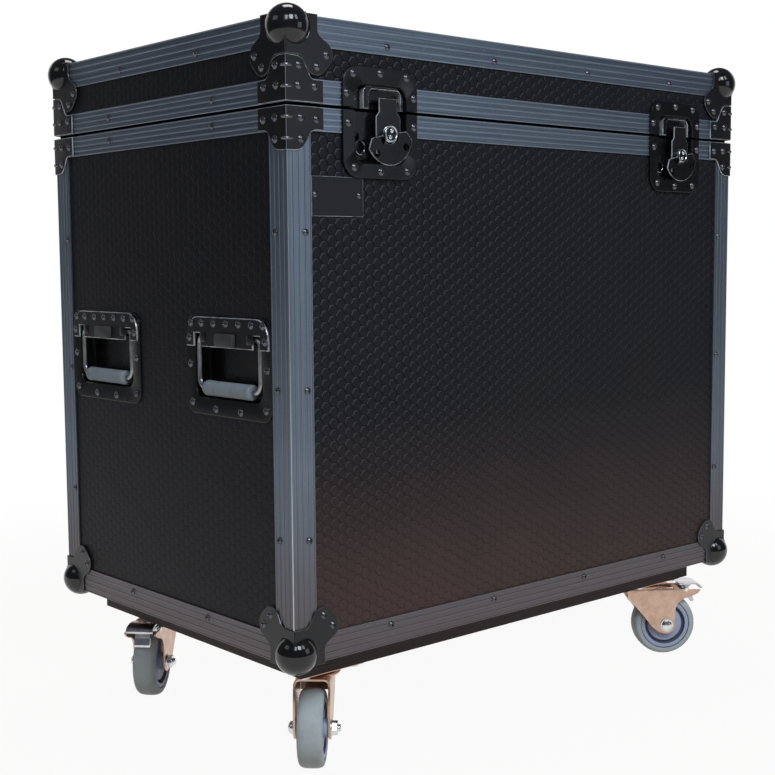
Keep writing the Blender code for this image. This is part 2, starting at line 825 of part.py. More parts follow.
def hinge_leaf(up):
    near = gap - hinge_axis_proud
    clear = knuckle_radius + knuckle_clearance
    low, high = sorted((up * clear, up * (clear + hinge_leaf_height)))
    leaf = box((-hinge_width / 2, near, low), (hinge_width / 2, near + hinge_plate, high))
    spans = [(-knuckle_length / 2, knuckle_length / 2)]
    if up < 0:
        inner = knuckle_length / 2 + knuckle_clearance
        spans = [(-hinge_width / 2, -inner), (inner, hinge_width / 2)]
    for start, end in spans:
        low, high = sorted((0, up * (clear + knuckle_root)))
        fuse(leaf, box((start, near, low), (end, near + hinge_plate, high)),
             cylinder(knuckle_radius, (start, 0, 0), (end, 0, 0), "X", 12))
    if up > 0:
        cut(leaf, cylinder(hinge_pin_radius + gap, (-hinge_width, 0, 0), (hinge_width, 0, 0), "X", 8))
    else:
        fuse(leaf, cylinder(hinge_pin_radius, (-hinge_width / 2, 0, 0), (hinge_width / 2, 0, 0), "X", 8))
    return baked(leaf)


def hinges():
    lid_leaf, body_leaf = hinge_leaf(1), hinge_leaf(-1)
    for side, x in (("left", -hinge_pitch / 2), ("right", hinge_pitch / 2)):
        axis = pivot(f"hinge_{side}_axis", (x, half_depth + hinge_axis_proud, seam_z))
        copy_of(f"hinge_{side}_lid_leaf", lid_leaf, "black_steel", axis)
        copy_of(f"hinge_{side}_body_leaf", body_leaf, "black_steel", axis)


# Castors, drawn with +X on the trailing side and the origin on the floor under the swivel

def castor_plate():
    base = box((-plate_length / 2, -plate_width / 2, castor_height - plate_thickness),
               (plate_length / 2, plate_width / 2, castor_height))
    race = cylinder(race_radius, (0, 0, castor_height - plate_thickness - race_height),
                    (0, 0, castor_height - plate_thickness / 2), "Z", 20)
    return baked(fuse(base, race))


crown_top = castor_height - plate_thickness - race_height - gap
crown_bottom = crown_top - crown_height
brake_pivot_z = crown_top - brake_pivot_drop
fork_inner = hub_width / 2 + gap
fork_outer = fork_inner + fork_leg


def fork(braked):
    top = crown_top - gap
    crown = cylinder(crown_radius, (0, 0, crown_bottom), (0, 0, crown_top), "Z", 20)
    foot = arc((wheel_trail, wheel_radius), fork_foot, math.radians(-110), 0, 4)
    end = foot[-1][0]
    web_end = end - fork_foot / 2 - 2 * gap
    web = box((2 * gap - fork_lead / 2, -fork_outer + gap, crown_bottom),
              (web_end, fork_outer - gap, top - gap))
    fuse(crown, web)
    outline = [(-fork_lead / 2, top), (-fork_lead, top - crown_height),
               (wheel_trail - fork_toe, foot[1][1]), *foot]
    if braked:
        under = top - fork_arm_height
        outline += [(end, under - fork_arm_height), (end + fork_foot / 2, under - fork_foot / 4),
                    (fork_arm_reach - fork_foot / 2, under), (fork_arm_reach, top - fork_foot / 2),
                    (fork_arm_reach, top)]
    else:
        outline += [(end, top - fork_arm_height), (end - fork_foot / 2, top)]
    for side, reach in ((-1, head_height), (1, nut_height)):
        fuse(crown, moved(plate(outline, fork_leg), facing(side * (fork_inner + fork_leg / 2))))
        low, high = sorted((side * (fork_inner + fork_leg / 2), side * (fork_outer + reach)))
        fuse(crown, cylinder(nut_radius, (wheel_trail, low, wheel_radius),
                             (wheel_trail, high, wheel_radius), "Y", 6))
    fuse(crown, cylinder(bolt_radius, (wheel_trail, -fork_outer, wheel_radius),
                         (wheel_trail, fork_outer, wheel_radius), "Y", 12))
    if braked:
        fuse(crown, cylinder(brake_pin, (brake_pivot_x, -fork_outer, brake_pivot_z),
                             (brake_pivot_x, fork_outer, brake_pivot_z), "Y", 10))
    return baked(crown)


def wheel():
    bore = bolt_radius + gap
    tyre, hub = tyre_width / 2, hub_width / 2
    side = [(bore, hub), (hub_radius, hub), (hub_radius, tyre - wheel_recess),
            (groove_radius, tyre - wheel_recess), (groove_radius, tyre),
            (wheel_radius - tyre_shoulder, tyre), (wheel_radius, tyre - tyre_shoulder)]
    return baked(turned(side + [(r, -y) for r, y in reversed(side)], 24))


def brake():
    """Rocking pedal between the fork's arms, its origin on its pivot."""
    half = fork_inner - brake_clearance
    top = crown_top + brake_lift
    lip = brake_reach - brake_plate
    pedal = [(brake_inner, top), (lip, top - brake_plate), (brake_reach, top - brake_lip),
             (lip, top - brake_lip), (lip - brake_plate, top - 2 * brake_plate),
             (brake_inner, top - brake_plate)]
    tab = [(brake_pivot_x - brake_eye, top - brake_plate / 2),
           (brake_pivot_x + brake_eye, top - brake_plate),
           (brake_pivot_x + brake_tab_out, top - brake_tab),
           (brake_pivot_x + brake_tab_out - brake_plate, top - brake_tab),
           (brake_pivot_x - brake_eye, brake_pivot_z)]
    rocker = moved(plate(pedal, half * 2), facing(0))
    fuse(rocker, moved(plate(tab, brake_tab_width), facing(0)),
         cylinder(brake_eye, (brake_pivot_x, -half, brake_pivot_z),
                  (brake_pivot_x, half, brake_pivot_z), "Y", 12))
    cut(rocker, cylinder(brake_pin + gap, (brake_pivot_x, -beyond, brake_pivot_z),
                         (brake_pivot_x, beyond, brake_pivot_z), "Y", 10))
    mesh = baked(rocker)
    mesh.transform(Matrix.Translation((-brake_pivot_x, 0, -brake_pivot_z)))
    return mesh


def castors():
    plate_mesh, wheel_mesh = castor_plate(), wheel()
    plain_fork, braked_fork, brake_mesh = fork(False), fork(True), brake()
    x, y = half_width - castor_inset_x, half_depth - castor_inset_y
    spots = (("front_left", -x, -y, -134, False), ("front_right", x, -y, -36, True),
             ("back_left", -x, y, -138, True), ("back_right", x, y, -60, False))
    for spot, px, py, heading, braked in spots:
        name = f"castor_{spot}"
        seat = pivot(f"{name}_seat", (px, py, 0))
        copy_of(f"{name}_plate", plate_mesh, "zinc", seat)
        swivel = pivot(f"{name}_swivel", (px, py, 0), math.radians(heading))
        copy_of(f"{name}_fork", braked_fork if braked else plain_fork, "zinc", swivel)
        axle = pivot(f"{name}_axle", (wheel_trail, 0, wheel_radius), parent=swivel)
        copy_of(f"{name}_wheel", wheel_mesh, "tyre", axle)
        if braked:
            rocker = pivot(f"{name}_brake_pivot", (brake_pivot_x, 0, brake_pivot_z), parent=swivel)
            copy_of(f"{name}_brake", brake_mesh, "zinc", rocker)


def nameplate():
    x = -half_width + nameplate_from_left
    z = seam_z - nameplate_below_seam
    face = -half_depth + wood_inset - gap
    piece("nameplate", box((x - nameplate_width / 2, face - nameplate_plate, z - nameplate_height / 2),
                           (x + nameplate_width / 2, face, z + nameplate_height / 2)), "black_steel")


lid()
body()
ball_corners()
handles()
latches()
hinges()
castors()
nameplate()
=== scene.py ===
import json
import math

import bmesh
import bpy
from mathutils import Matrix, Vector

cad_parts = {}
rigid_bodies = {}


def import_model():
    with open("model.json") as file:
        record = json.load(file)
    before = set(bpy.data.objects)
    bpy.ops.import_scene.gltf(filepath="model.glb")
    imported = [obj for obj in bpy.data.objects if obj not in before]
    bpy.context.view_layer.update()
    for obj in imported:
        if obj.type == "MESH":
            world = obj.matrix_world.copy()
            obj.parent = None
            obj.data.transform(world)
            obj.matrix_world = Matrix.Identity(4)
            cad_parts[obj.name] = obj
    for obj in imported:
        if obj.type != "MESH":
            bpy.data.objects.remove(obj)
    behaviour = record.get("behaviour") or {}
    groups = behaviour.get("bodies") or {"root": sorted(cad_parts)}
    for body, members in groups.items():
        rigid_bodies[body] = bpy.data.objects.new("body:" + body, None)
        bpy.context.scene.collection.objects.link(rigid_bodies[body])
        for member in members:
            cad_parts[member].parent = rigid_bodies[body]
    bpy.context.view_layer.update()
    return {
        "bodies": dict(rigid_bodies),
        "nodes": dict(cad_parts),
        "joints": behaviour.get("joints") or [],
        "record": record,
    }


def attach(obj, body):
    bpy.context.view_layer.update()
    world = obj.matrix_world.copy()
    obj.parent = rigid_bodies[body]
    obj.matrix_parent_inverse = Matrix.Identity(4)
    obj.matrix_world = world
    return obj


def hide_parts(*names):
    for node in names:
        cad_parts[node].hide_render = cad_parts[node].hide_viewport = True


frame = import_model()
nodes = frame["nodes"]
print("frame loaded:", len(nodes), "nodes")


def mm(value):
    # millimetres, alone or in lists and dictionaries, to metres
    if isinstance(value, dict):
        return {key: mm(part) for key, part in value.items()}
    if isinstance(value, (list, tuple)):
        return type(value)(mm(part) for part in value)
    return value / 1000


# the case; its front faces -Y and the floor is z = 0
case = mm({
    "halfWidth": 435,
    "halfDepth": 280,
    "base": 156,          # underside of the bottom edging
    "seam": 822,
    "top": 924,
    "seamGap": 3.8,
    "gap": 0.3,           # air between pieces that touch
})
halfWidth, halfDepth, seam, gap = case["halfWidth"], case["halfDepth"], case["seam"], case["gap"]
caseTop, caseBase, halfGap = case["top"], case["base"], case["seamGap"] / 2


# shader and geometry maths

class Term:
    def __init__(self, graph, socket):
        self.graph = graph
        self.socket = socket

    def maths(self, operation, *others):
        made = self.graph.tree.nodes.new("ShaderNodeMath")
        made.operation = operation
        for place, value in zip(made.inputs, (self, *others)):
            self.graph.feed(place, value)
        return Term(self.graph, made.outputs[0])

    def __add__(self, other):
        return self.maths("ADD", other)

    def __sub__(self, other):
        return self.maths("SUBTRACT", other)

    def __rsub__(self, other):
        return (self * -1).maths("ADD", other)

    def __mul__(self, other):
        return self.maths("MULTIPLY", other)

    def __truediv__(self, other):
        return self.maths("DIVIDE", other)

    def __mod__(self, other):
        return self.maths("FLOORED_MODULO", other)

    def __gt__(self, other):
        return self.maths("GREATER_THAN", other)

    def __lt__(self, other):
        return self.maths("LESS_THAN", other)

    def __abs__(self):
        return self.maths("ABSOLUTE")

    __radd__ = __add__
    __rmul__ = __mul__

    def atLeast(self, other):
        return self.maths("MAXIMUM", other)

    def atMost(self, other):
        return self.maths("MINIMUM", other)

    def other(self, name):
        return Term(self.graph, self.socket.node.outputs[name])


class Graph:
    def __init__(self, tree):
        self.tree = tree

    def feed(self, place, value):
        if isinstance(value, Term):
            self.tree.links.new(value.socket, place)
        else:
            place.default_value = value

    def node(self, kind, settings=None, sockets=None, take=0):
        made = self.tree.nodes.new(kind)
        for name, value in (settings or {}).items():
            setattr(made, name, value)
        for name, value in (sockets or {}).items():
            self.feed(made.inputs[name], value)
        return Term(self, made.outputs[take]) if made.outputs else made

    def split(self, vector):
        first = self.node("ShaderNodeSeparateXYZ", sockets={0: vector})
        return first, first.other("Y"), first.other("Z")

    def joined(self, x, y, z):
        return self.node("ShaderNodeCombineXYZ", sockets={0: x, 1: y, 2: z})

    def objectPlace(self):
        return self.node("ShaderNodeTexCoord", take="Object")

    def scaled(self, vector, scale):
        return self.node("ShaderNodeMapping", sockets={"Vector": vector, "Scale": scale})

    def noise(self, vector, scale, detail=3, rough=0.5):
        return self.node("ShaderNodeTexNoise", sockets={
            "Vector": vector, "Scale": scale, "Detail": detail, "Roughness": rough})

    def smooth(self, value, low, high, toLow=0.0, toHigh=1.0):
        return self.node("ShaderNodeMapRange", {"interpolation_type": "SMOOTHSTEP"}, {
            "Value": value, "From Min": low, "From Max": high, "To Min": toLow, "To Max": toHigh})

    def mix(self, factor, first, second):
        first = first if isinstance(first, Term) else (*first, 1)
        second = second if isinstance(second, Term) else (*second, 1)
        return self.node("ShaderNodeMix", {"data_type": "RGBA"}, {0: factor, 6: first, 7: second}, 2)

    def bump(self, height, distance, strength=1.0):
        return self.node("ShaderNodeBump", sockets={
            "Height": height, "Distance": distance, "Strength": strength})


def newMaterial(name, build):
    made = bpy.data.materials.new(name)
    made.use_nodes = True
    made.node_tree.nodes.clear()
    graph = Graph(made.node_tree)
    graph.node("ShaderNodeOutputMaterial", sockets={"Surface": build(graph)})
    return made


def finish(name, build):
    return newMaterial(name, lambda g: g.node("ShaderNodeBsdfPrincipled", sockets=build(g)))


# plywood film with its pressed hexagons

film = {
    "pitch": 0.0137,              # across the flats
    "groove": 0.0013,
    "pressed": 0.0010,
    "grain": 0.00006,
    "faint": 0.75,                # how far the pattern fades on the ends
    # the line colour is painted shade in the grooves between the cells
    "cell": (0.0135, 0.0138, 0.0180),
    "line": (0.0022, 0.0023, 0.0030),
    "haze": (0.020, 0.0175, 0.017),
    # painted highlight on each cell's upper left edge
    "wearAndPaintedHighlight": (0.062, 0.062, 0.068),
    # painted warm reflection of the floor, low on the panels
    "dustAndPaintedReflection": (0.088, 0.054, 0.047),
    "scuff": (0.035, 0.034, 0.036),
}


def filmNodes(g):
    place = g.objectPlace()
    x, y, z = g.split(place)
    nx, ny, nz = (abs(part) for part in g.split(g.node("ShaderNodeTexCoord", take="Normal")))
    side, level = nx > 0.5, nz > 0.5
    u = x * (1 - side) + y * side
    v = z * (1 - level) + y * level
    outer = ((abs(x) > halfWidth - 0.004) * side
             + (abs(y) > halfDepth - 0.004) * (ny > 0.5)
             + (z > caseTop - 0.005) * level).atMost(1.0)
    tall, groove = film["pitch"], film["groove"]
    wide = tall * math.sqrt(3)

    def cell(shift):
        a = (u + wide * shift) % wide - wide / 2
        b = (v + tall * shift) % tall - tall / 2
        return abs(b).atLeast(abs(a) * (math.sqrt(3) / 2) + abs(b) * 0.5), b - a * 0.8

    (first, firstLean), (second, secondLean) = cell(0), cell(0.5)
    nearer = first < second
    away = tall / 2 - first.atMost(second)
    lean = firstLean * nearer + secondLean * (1 - nearer)
    raised = g.smooth(away, 0.0, groove)
    crown = g.smooth(away, 0.0, tall / 2)
    grain = g.noise(place, 900, 2)
    cloud = g.noise(place, 9, 4, 0.6)
    scuff = g.smooth(g.noise(g.scaled(place, (40, 40, 7)), 6, 5, 0.7), 0.62, 0.80)
    # each cell has a painted highlight along its upper left edge, strongest to the left and none on the
    # ends, and the pattern hardly shows on the ends
    edge = g.smooth(away, 0.0, groove * 0.5) * g.smooth(away, groove, groove * 1.8, 1, 0)
    wearAndPaintedHighlight = edge * g.smooth(lean, tall * 0.22, tall * 0.50) * outer * (1 - side)
    pattern = (raised * 0.8 + crown * 0.2) * outer * (1 - side * film["faint"])
    # painted shade: the grooves take the dark line colour, less of it on the ends
    flat = (raised * outer + (1 - outer)).atLeast(side * film["faint"])
    colour = g.mix(flat, film["line"], film["cell"])
    colour = g.mix(g.smooth(cloud, 0.35, 0.75, 0, 0.35), colour, film["haze"])
    colour = g.mix(wearAndPaintedHighlight * g.smooth(x + cloud * 0.2, -0.45, 0.45, 0.95, 0.35), colour, film["wearAndPaintedHighlight"])
    # painted warm reflection of the floor, fading upwards and to the right, and lower on the ends
    paintedReflection = g.smooth(z + cloud * 0.10 + side * 0.22, 0.20, 0.52, 0.9, 0.0)
    colour = g.mix(paintedReflection * g.smooth(x, -0.40, 0.40, 1.0, 0.72), colour, film["dustAndPaintedReflection"])
    return {
        "Base Color": g.mix(scuff * 0.25, colour, film["scuff"]),
        "Roughness": 0.46 + grain * 0.10 + scuff * 0.1 - raised * outer * 0.06,
        "Specular IOR Level": 0.10,
        "Normal": g.bump(pattern * film["pressed"] + grain * film["grain"], 1.0),
    }


filmCoat = finish("hexFilm", filmNodes)


def arrisMask(g, place, reach, proud=0.0):
    x, y, z = g.split(place)
    side = abs(x) - (halfWidth + proud - reach)
    front = abs(y) - (halfDepth + proud - reach)
    return g.smooth(side.atMost(front), 0.0, reach * 0.4)


# black enamelled steel, glossier on what is turned or spun

enamel = {
    "black": (0.0075, 0.0075, 0.0085),
    "dusty": (0.016, 0.016, 0.018),
    "bare": (0.34, 0.36, 0.39),
    "proud": 0.0021,              # how far the braces stand off the case
}


def enamelNodes(rough, arris=0.0, metal=0.0, shade=1.0, shine=0.5):
    def build(g):
        place = g.objectPlace()
        peel = g.noise(place, 520, 2)
        cloud = g.noise(place, 26, 4, 0.6)
        dustAndPaintedReflection = g.smooth(cloud, 0.48, 0.78)
        colour = g.mix(dustAndPaintedReflection * 0.5, tuple(part * shade for part in enamel["black"]), enamel["dusty"])
        worn = metal
        if arris:
            worn = arrisMask(g, place, arris, enamel["proud"]) * g.smooth(cloud, 0.2, 0.5, 0.6, 1.0)
            colour = g.mix(worn, colour, enamel["bare"])
            worn = worn * 0.9
        return {
            "Base Color": colour,
            "Metallic": worn,
            "Roughness": rough + peel * 0.05 + dustAndPaintedReflection * 0.10,
            "Specular IOR Level": shine,
            "Normal": g.bump(peel * 0.00004, 1.0, 0.5),
        }
    return build


blackEnamel = finish("blackEnamel", enamelNodes(0.30, shine=0.34))
braceEnamel = finish("braceEnamel", enamelNodes(0.34, arris=0.0011, shine=0.30))
glossEnamel = finish("glossEnamel", enamelNodes(0.07, shade=0.8, shine=0.5))
# darker copy of the black enamel: painted shade for the dish pans, also used on the wings and the boss
# faces
panShadeEnamel = finish("panShadeEnamel", enamelNodes(0.24, shade=0.5, shine=0.32))
rivetSteel = finish("rivetSteel", enamelNodes(0.18, metal=0.8, shade=14))
# lighter metallic copy of the enamel, a painted highlight on the ribs
ribHighlightSteel = finish("ribHighlightSteel", enamelNodes(0.24, metal=0.8, shade=24))
ringSteel = finish("ringSteel", enamelNodes(0.12, metal=1.0, shade=40))
# near black, painted shade inside the seam
seamPaintedShade = finish("seamPaintedShade", enamelNodes(0.85, shade=0.12, shine=0.05))


def cutEdgeNodes(bare):
    def build(g):
        # enamel rubbed thin along the edges of the sheet
        patch = g.noise(g.objectPlace(), 60, 4, 0.7)
        wearAndPaintedHighlight = g.smooth(patch, 0.38, 0.55, 0.25, 1.0)
        return {
            "Base Color": g.mix(wearAndPaintedHighlight, (0.014, 0.014, 0.015), bare),
            "Metallic": wearAndPaintedHighlight * 0.4,
            "Roughness": 0.32 - wearAndPaintedHighlight * 0.08,
            "Normal": g.bump(patch * 0.0001, 1.0, 0.4),
        }
    return build


cutEdge = finish("cutEdge", cutEdgeNodes((0.56, 0.59, 0.63)))
dimEdge = finish("dimEdge", cutEdgeNodes((0.11, 0.115, 0.125)))


# dark anodised aluminium; the lines of the die run along each length

edging = {
    "band": (0.195, 0.238, 0.300),
    "dull": (0.100, 0.124, 0.160),
    # painted highlight on the raised ridges
    "ridge": (0.46, 0.52, 0.60),
    "mark": (0.40, 0.43, 0.47),
    # painted warm reflection of the floor, low down
    "dustAndPaintedReflection": (0.115, 0.085, 0.078),
    "worn": (0.62, 0.66, 0.70),
    "arris": 0.0011,
    "rails": (3, 3, 900),         # stretch of the lines
    "posts": (900, 900, 3),
}


def edgingNodes(stretch, bright=0.0, paintedShadeTone=1.0):
    def build(g):
        place = g.objectPlace()
        dull, band, ridge = (tuple(part * paintedShadeTone for part in edging[kind])
                             for kind in ("dull", "band", "ridge"))
        lines = g.noise(g.scaled(place, stretch), 1.0, 3, 0.6)
        speck = g.noise(place, 420, 4, 0.7)
        cloud = g.noise(place, 14, 3)
        mark = g.smooth(g.noise(place, 95, 5, 0.75), 0.66, 0.74)
        worn = arrisMask(g, place, edging["arris"]) * g.smooth(cloud, 0.25, 0.5, 0.55, 1.0)
        colour = g.mix(g.smooth(lines + speck * 0.35, 0.45, 0.85), dull, band)
        colour = g.mix(mark * 0.35, colour, edging["mark"])
        x, y, z = g.split(place)
        # painted highlight: the ridges are lighter than the sunk bands
        if bright:
            colour = g.mix(g.smooth(cloud + speck * 0.4, 0.35, 0.75, bright, bright * 0.6), colour, ridge)
        # painted warm reflection of the floor, fading upwards
        colour = g.mix(g.smooth(z + cloud * 0.08, 0.18, 0.46, 0.8, 0.0), colour, edging["dustAndPaintedReflection"])
        return {
            "Base Color": g.mix(worn * 0.8, colour, edging["worn"]),
            "Metallic": 0.9,
            "Roughness": 0.40 + speck * 0.16 - lines * 0.08 - worn * 0.12,
            "Normal": g.bump(lines * 0.00012 + speck * 0.00003, 1.0, 0.6),
        }
    return build


railMetal = finish("railAluminium", edgingNodes(edging["rails"]))
# the posts take a darker copy of the rail metal, painted shade
postMetal = finish("postAluminium", edgingNodes(edging["posts"], 0.0, 0.82))
railRidgeHighlight = finish("railRidgeHighlight", edgingNodes(edging["rails"], 0.62))
postRidgeHighlight = finish("postRidgeHighlight", edgingNodes(edging["posts"], 0.30, 0.82))


# bright steel of bails, bolts and castors, in two tones each

def steelNodes(first, second, rough, scale=60):
    def build(g):
        place = g.objectPlace()
        cloud = g.noise(place, scale, 4, 0.6)
        fine = g.noise(place, 800, 2)
        stain = g.smooth(g.noise(place, scale * 3, 5, 0.7), 0.60, 0.78)
        colour = g.mix(g.smooth(cloud, 0.3, 0.7), first, second)
        return {
            "Base Color": g.mix(stain * 0.3, colour, tuple(part * 0.45 for part in second)),
            "Metallic": 1.0,
            "Roughness": rough + fine * 0.12 + stain * 0.15,
            "Normal": g.bump(fine * 0.00003 + cloud * 0.00010, 1.0, 0.5),
        }
    return build


zincSteel = finish("zincSteel", steelNodes((0.64, 0.45, 0.355), (0.50, 0.33, 0.245), 0.26))
boltSteel = finish("boltSteel", steelNodes((0.74, 0.75, 0.76), (0.60, 0.61, 0.62), 0.16))
bossSteel = finish("bossSteel", steelNodes((0.55, 0.59, 0.63), (0.40, 0.43, 0.46), 0.20))
wireSteel = finish("wireSteel", steelNodes((0.40, 0.41, 0.43), (0.27, 0.27, 0.28), 0.26))
pedalSteel = finish("pedalSteel", steelNodes((0.70, 0.71, 0.74), (0.50, 0.50, 0.52), 0.14))


# grey rubber of grips and tyres, and the wheels' nylon centres

def rubberNodes(colour, dirt, rough, grain=0.00008):
    def build(g):
        place = g.objectPlace()
        fine = g.noise(place, 700, 3, 0.6)
        grime = g.smooth(g.noise(place, 45, 4, 0.6), 0.45, 0.8)
        return {
            "Base Color": g.mix(grime * 0.6, colour, dirt),
            "Roughness": rough + fine * 0.15,
            "Specular IOR Level": 0.35,
            "Normal": g.bump(fine * grain, 1.0, 0.7),
        }
    return build


tyreRubber = finish("tyreRubber", rubberNodes((0.50, 0.55, 0.56), (0.38, 0.38, 0.36), 0.46))
hubNylon = finish("hubNylon", rubberNodes((0.44, 0.50, 0.68), (0.34, 0.38, 0.50), 0.34, 0.00003))
# darker copy of the hub nylon, painted shade in the wheel's grooves
grooveShadeNylon = finish("grooveShadeNylon", rubberNodes((0.15, 0.165, 0.215), (0.09, 0.095, 0.12), 0.5))
gripRubber = finish("gripRubber", rubberNodes((0.28, 0.33, 0.37), (0.17, 0.155, 0.145), 0.50))
bumpRubber = finish("bumpRubber", rubberNodes((0.050, 0.053, 0.052), (0.03, 0.03, 0.03), 0.45))


# stained ply of the castor board

board = {
    "ply": 0.0047,                # thickness of one ply
    "dark": (0.013, 0.0085, 0.0075),
    "light": (0.048, 0.029, 0.024),
    "glue": (0.010, 0.007, 0.0065),
    "chip": (0.16, 0.11, 0.085),
}


def boardNodes(g):
    place = g.objectPlace()
    x, y, z = g.split(place)
    along = g.noise(g.scaled(place, (5, 5, 420)), 1.0, 5, 0.7)
    plies = g.smooth(abs((z / board["ply"]) % 1.0 - 0.5), 0.36, 0.48)
    chip = g.smooth(g.noise(g.scaled(place, (60, 60, 500)), 1.0, 4, 0.8), 0.63, 0.75)
    colour = g.mix(plies * 0.6, g.mix(along, board["dark"], board["light"]), board["glue"])
    return {
        "Base Color": g.mix(chip * 0.6, colour, board["chip"]),
        "Roughness": 0.48 + along * 0.25,
        "Specular IOR Level": 0.3,
        "Normal": g.bump(along * 0.0006 - plies * 0.0003, 1.0, 0.8),
    }


def plateNodes(g):
    place = g.objectPlace()
    brushed = g.noise(g.scaled(place, (30, 30, 1600)), 1.0, 3)
    cloud = g.noise(place, 40, 3)
    return {
        "Base Color": g.mix(cloud * 0.5, (0.0065, 0.0075, 0.0115), (0.011, 0.0125, 0.018)),
        "Roughness": 0.42 + brushed * 0.14,
        "Specular IOR Level": 0.3,
        "Normal": g.bump(brushed * 0.00003, 1.0, 0.6),
    }


stainedPly = finish("stainedPly", boardNodes)
bareBlack = finish("bareBlackPlate", plateNodes)
print("finishes made")


# meshes: each is drawn at its own seat and then placed in its vertices

def axes(*rows):
    return Matrix(rows).to_4x4()


toFront = axes((1, 0, 0), (0, 0, -1), (0, 1, 0))      # x, y to x, z; height to -Y
toEnd = axes((0, 0, 1), (1, 0, 0), (0, 1, 0))         # x, y to y, z; height to +X
toBack = axes((-1, 0, 0), (0, 0, 1), (0, 1, 0))       # x, y to -x, z; height to +Y


def move(x=0.0, y=0.0, z=0.0):
    return Matrix.Translation((x, y, z))


def turn(degrees, axis):
    return Matrix.Rotation(math.radians(degrees), 4, axis)


def toMesh(shape, clean=True):
    if clean:
        bmesh.ops.remove_doubles(shape, verts=shape.verts, dist=0.000001)
        bmesh.ops.recalc_face_normals(shape, faces=shape.faces)
    mesh = bpy.data.meshes.new("shape")
    shape.to_mesh(mesh)
    shape.free()
    return mesh


def placed(mesh, matrix):
    made = mesh.copy()
    made.transform(matrix)
    if matrix.determinant() < 0:
        made.flip_normals()
    return made


def merged(*meshes):
    shape = bmesh.new()
    for mesh in meshes:
        shape.from_mesh(mesh)
    return toMesh(shape, clean=False)


def painted(mesh, index):
    for face in mesh.polygons:
        face.material_index = index
    return mesh


def rounded(shape, edges, width, steps):
    bmesh.ops.bevel(shape, geom=edges, offset=width, offset_type="OFFSET", segments=steps,
                    profile=0.5, affect="EDGES", clamp_overlap=True)


def slab(outline, low, high, edge=0.0, steps=2, under=False, rim=0):
    # an outline given height; its sides take the rim's material
    shape = bmesh.new()
    bottom = shape.faces.new([shape.verts.new((x, y, low)) for x, y in outline])
    made = bmesh.ops.extrude_face_region(shape, geom=[bottom])
    lifted = [item for item in made["geom"] if isinstance(item, bmesh.types.BMVert)]
    bmesh.ops.translate(shape, vec=(0, 0, high - low), verts=lifted)
    bmesh.ops.recalc_face_normals(shape, faces=shape.faces)
    if edge:
        levels = (high, low) if under else (high,)
        rounded(shape, [line for line in shape.edges if any(
            all(abs(vert.co.z - z) < 1e-7 for vert in line.verts) for z in levels)], edge, steps)
    shape.normal_update()
    for face in shape.faces:
        face.material_index = rim if abs(face.normal.z) < 0.99 else 0
    return toMesh(shape)


def brick(low, high, edge=0.0, steps=2):
    shape = bmesh.new()
    bmesh.ops.create_cube(shape, size=1)
    size = [b - a for a, b in zip(low, high)]
    middle = [(a + b) / 2 for a, b in zip(low, high)]
    shape.transform(Matrix.Translation(middle) @ Matrix.Diagonal((*size, 1)))
    if edge:
        rounded(shape, shape.edges[:], edge, steps)
    return toMesh(shape)


def arc(x, y, radius, start, end, steps):
    angles = [math.radians(start + (end - start) * i / steps) for i in range(steps + 1)]
    return [(x + radius * math.cos(angle), y + radius * math.sin(angle)) for angle in angles]


def circle(radius, sides, x=0.0, y=0.0, start=0):
    return arc(x, y, radius, start, start + 360 - 360 / sides, sides - 1)


def roundedBox(width, height, radius, x=0.0, y=0.0, steps=6):
    a, b = width / 2 - radius, height / 2 - radius
    return [spot for k, (p, q) in enumerate(((a, b), (-a, b), (-a, -b), (a, -b)))
            for spot in arc(x + p, y + q, radius, 90 * k, 90 * k + 90, steps)]


def near(x, y, *offsets):
    # points given in millimetres from a spot
    return [(x + mm(a), y + mm(b)) for a, b in offsets]


def eased(points, rounds=2):
    # open line with its inner corners cut to a curve, its ends kept
    for _ in range(rounds):
        made = [points[0]]
        for a, b in zip(points, points[1:]):
            made += [tuple(p * share + q * (1 - share) for p, q in zip(a, b)) for share in (0.75, 0.25)]
        points = made + [points[-1]]
    return points


def lathe(profile, sides=24):
    # (radius, height) points about Z, ending on the axis or where they began
    shape = bmesh.new()
    rings = []
    for radius, height in profile:
        spots = circle(radius, sides) if radius > 1e-6 else [(0, 0)]
        rings.append([shape.verts.new((x, y, height)) for x, y in spots])
    for first, second in zip(rings, rings[1:]):
        for i in range(sides):
            a = [first[i % len(first)], first[(i + 1) % len(first)]]
            b = [second[(i + 1) % len(second)], second[i % len(second)]]
            corners = list(dict.fromkeys(a + b))
            if len(corners) > 2:
                shape.faces.new(corners)
    return toMesh(shape)


def rod(radius, low, high, sides=24, ease=0.0):
    side = [(radius, low + ease), (radius, high - ease)]
    if ease:
        side = [(radius - ease, low), *side, (radius - ease, high)]
    return lathe([(0, low), *side, (0, high)], sides)


def loft(loops, closed=False):
    # loops of equal length joined in turn, with caps unless the last meets the first
    shape = bmesh.new()
    rings = [[shape.verts.new(point) for point in loop] for loop in loops]
    for first, second in zip(rings, rings[1:] + rings[:1] if closed else rings[1:]):
        for k in range(len(first)):
            after = (k + 1) % len(first)
            shape.faces.new((first[k], first[after], second[after], second[k]))
    if not closed:
        shape.faces.new(rings[0])
        shape.faces.new(rings[-1])
    return toMesh(shape)


def tube(points, radius, sides=14, closed=False):
    # the radius is one value, or a list with one for each point
    points = [Vector(point) for point in points]
    last = len(points) - 1
    radii = radius if isinstance(radius, list) else [radius] * len(points)
    side = None
    loops = []
    for i, point in enumerate(points):
        if closed:
            along = (points[(i + 1) % len(points)] - points[i - 1]).normalized()
        else:
            along = (points[min(i + 1, last)] - points[max(i - 1, 0)]).normalized()
        side = side or along.orthogonal().normalized()
        side = (side - along * side.dot(along)).normalized()
        across = along.cross(side)
        loops.append([point + side * a + across * b for a, b in circle(radii[i], sides)])
    return loft(loops, closed)


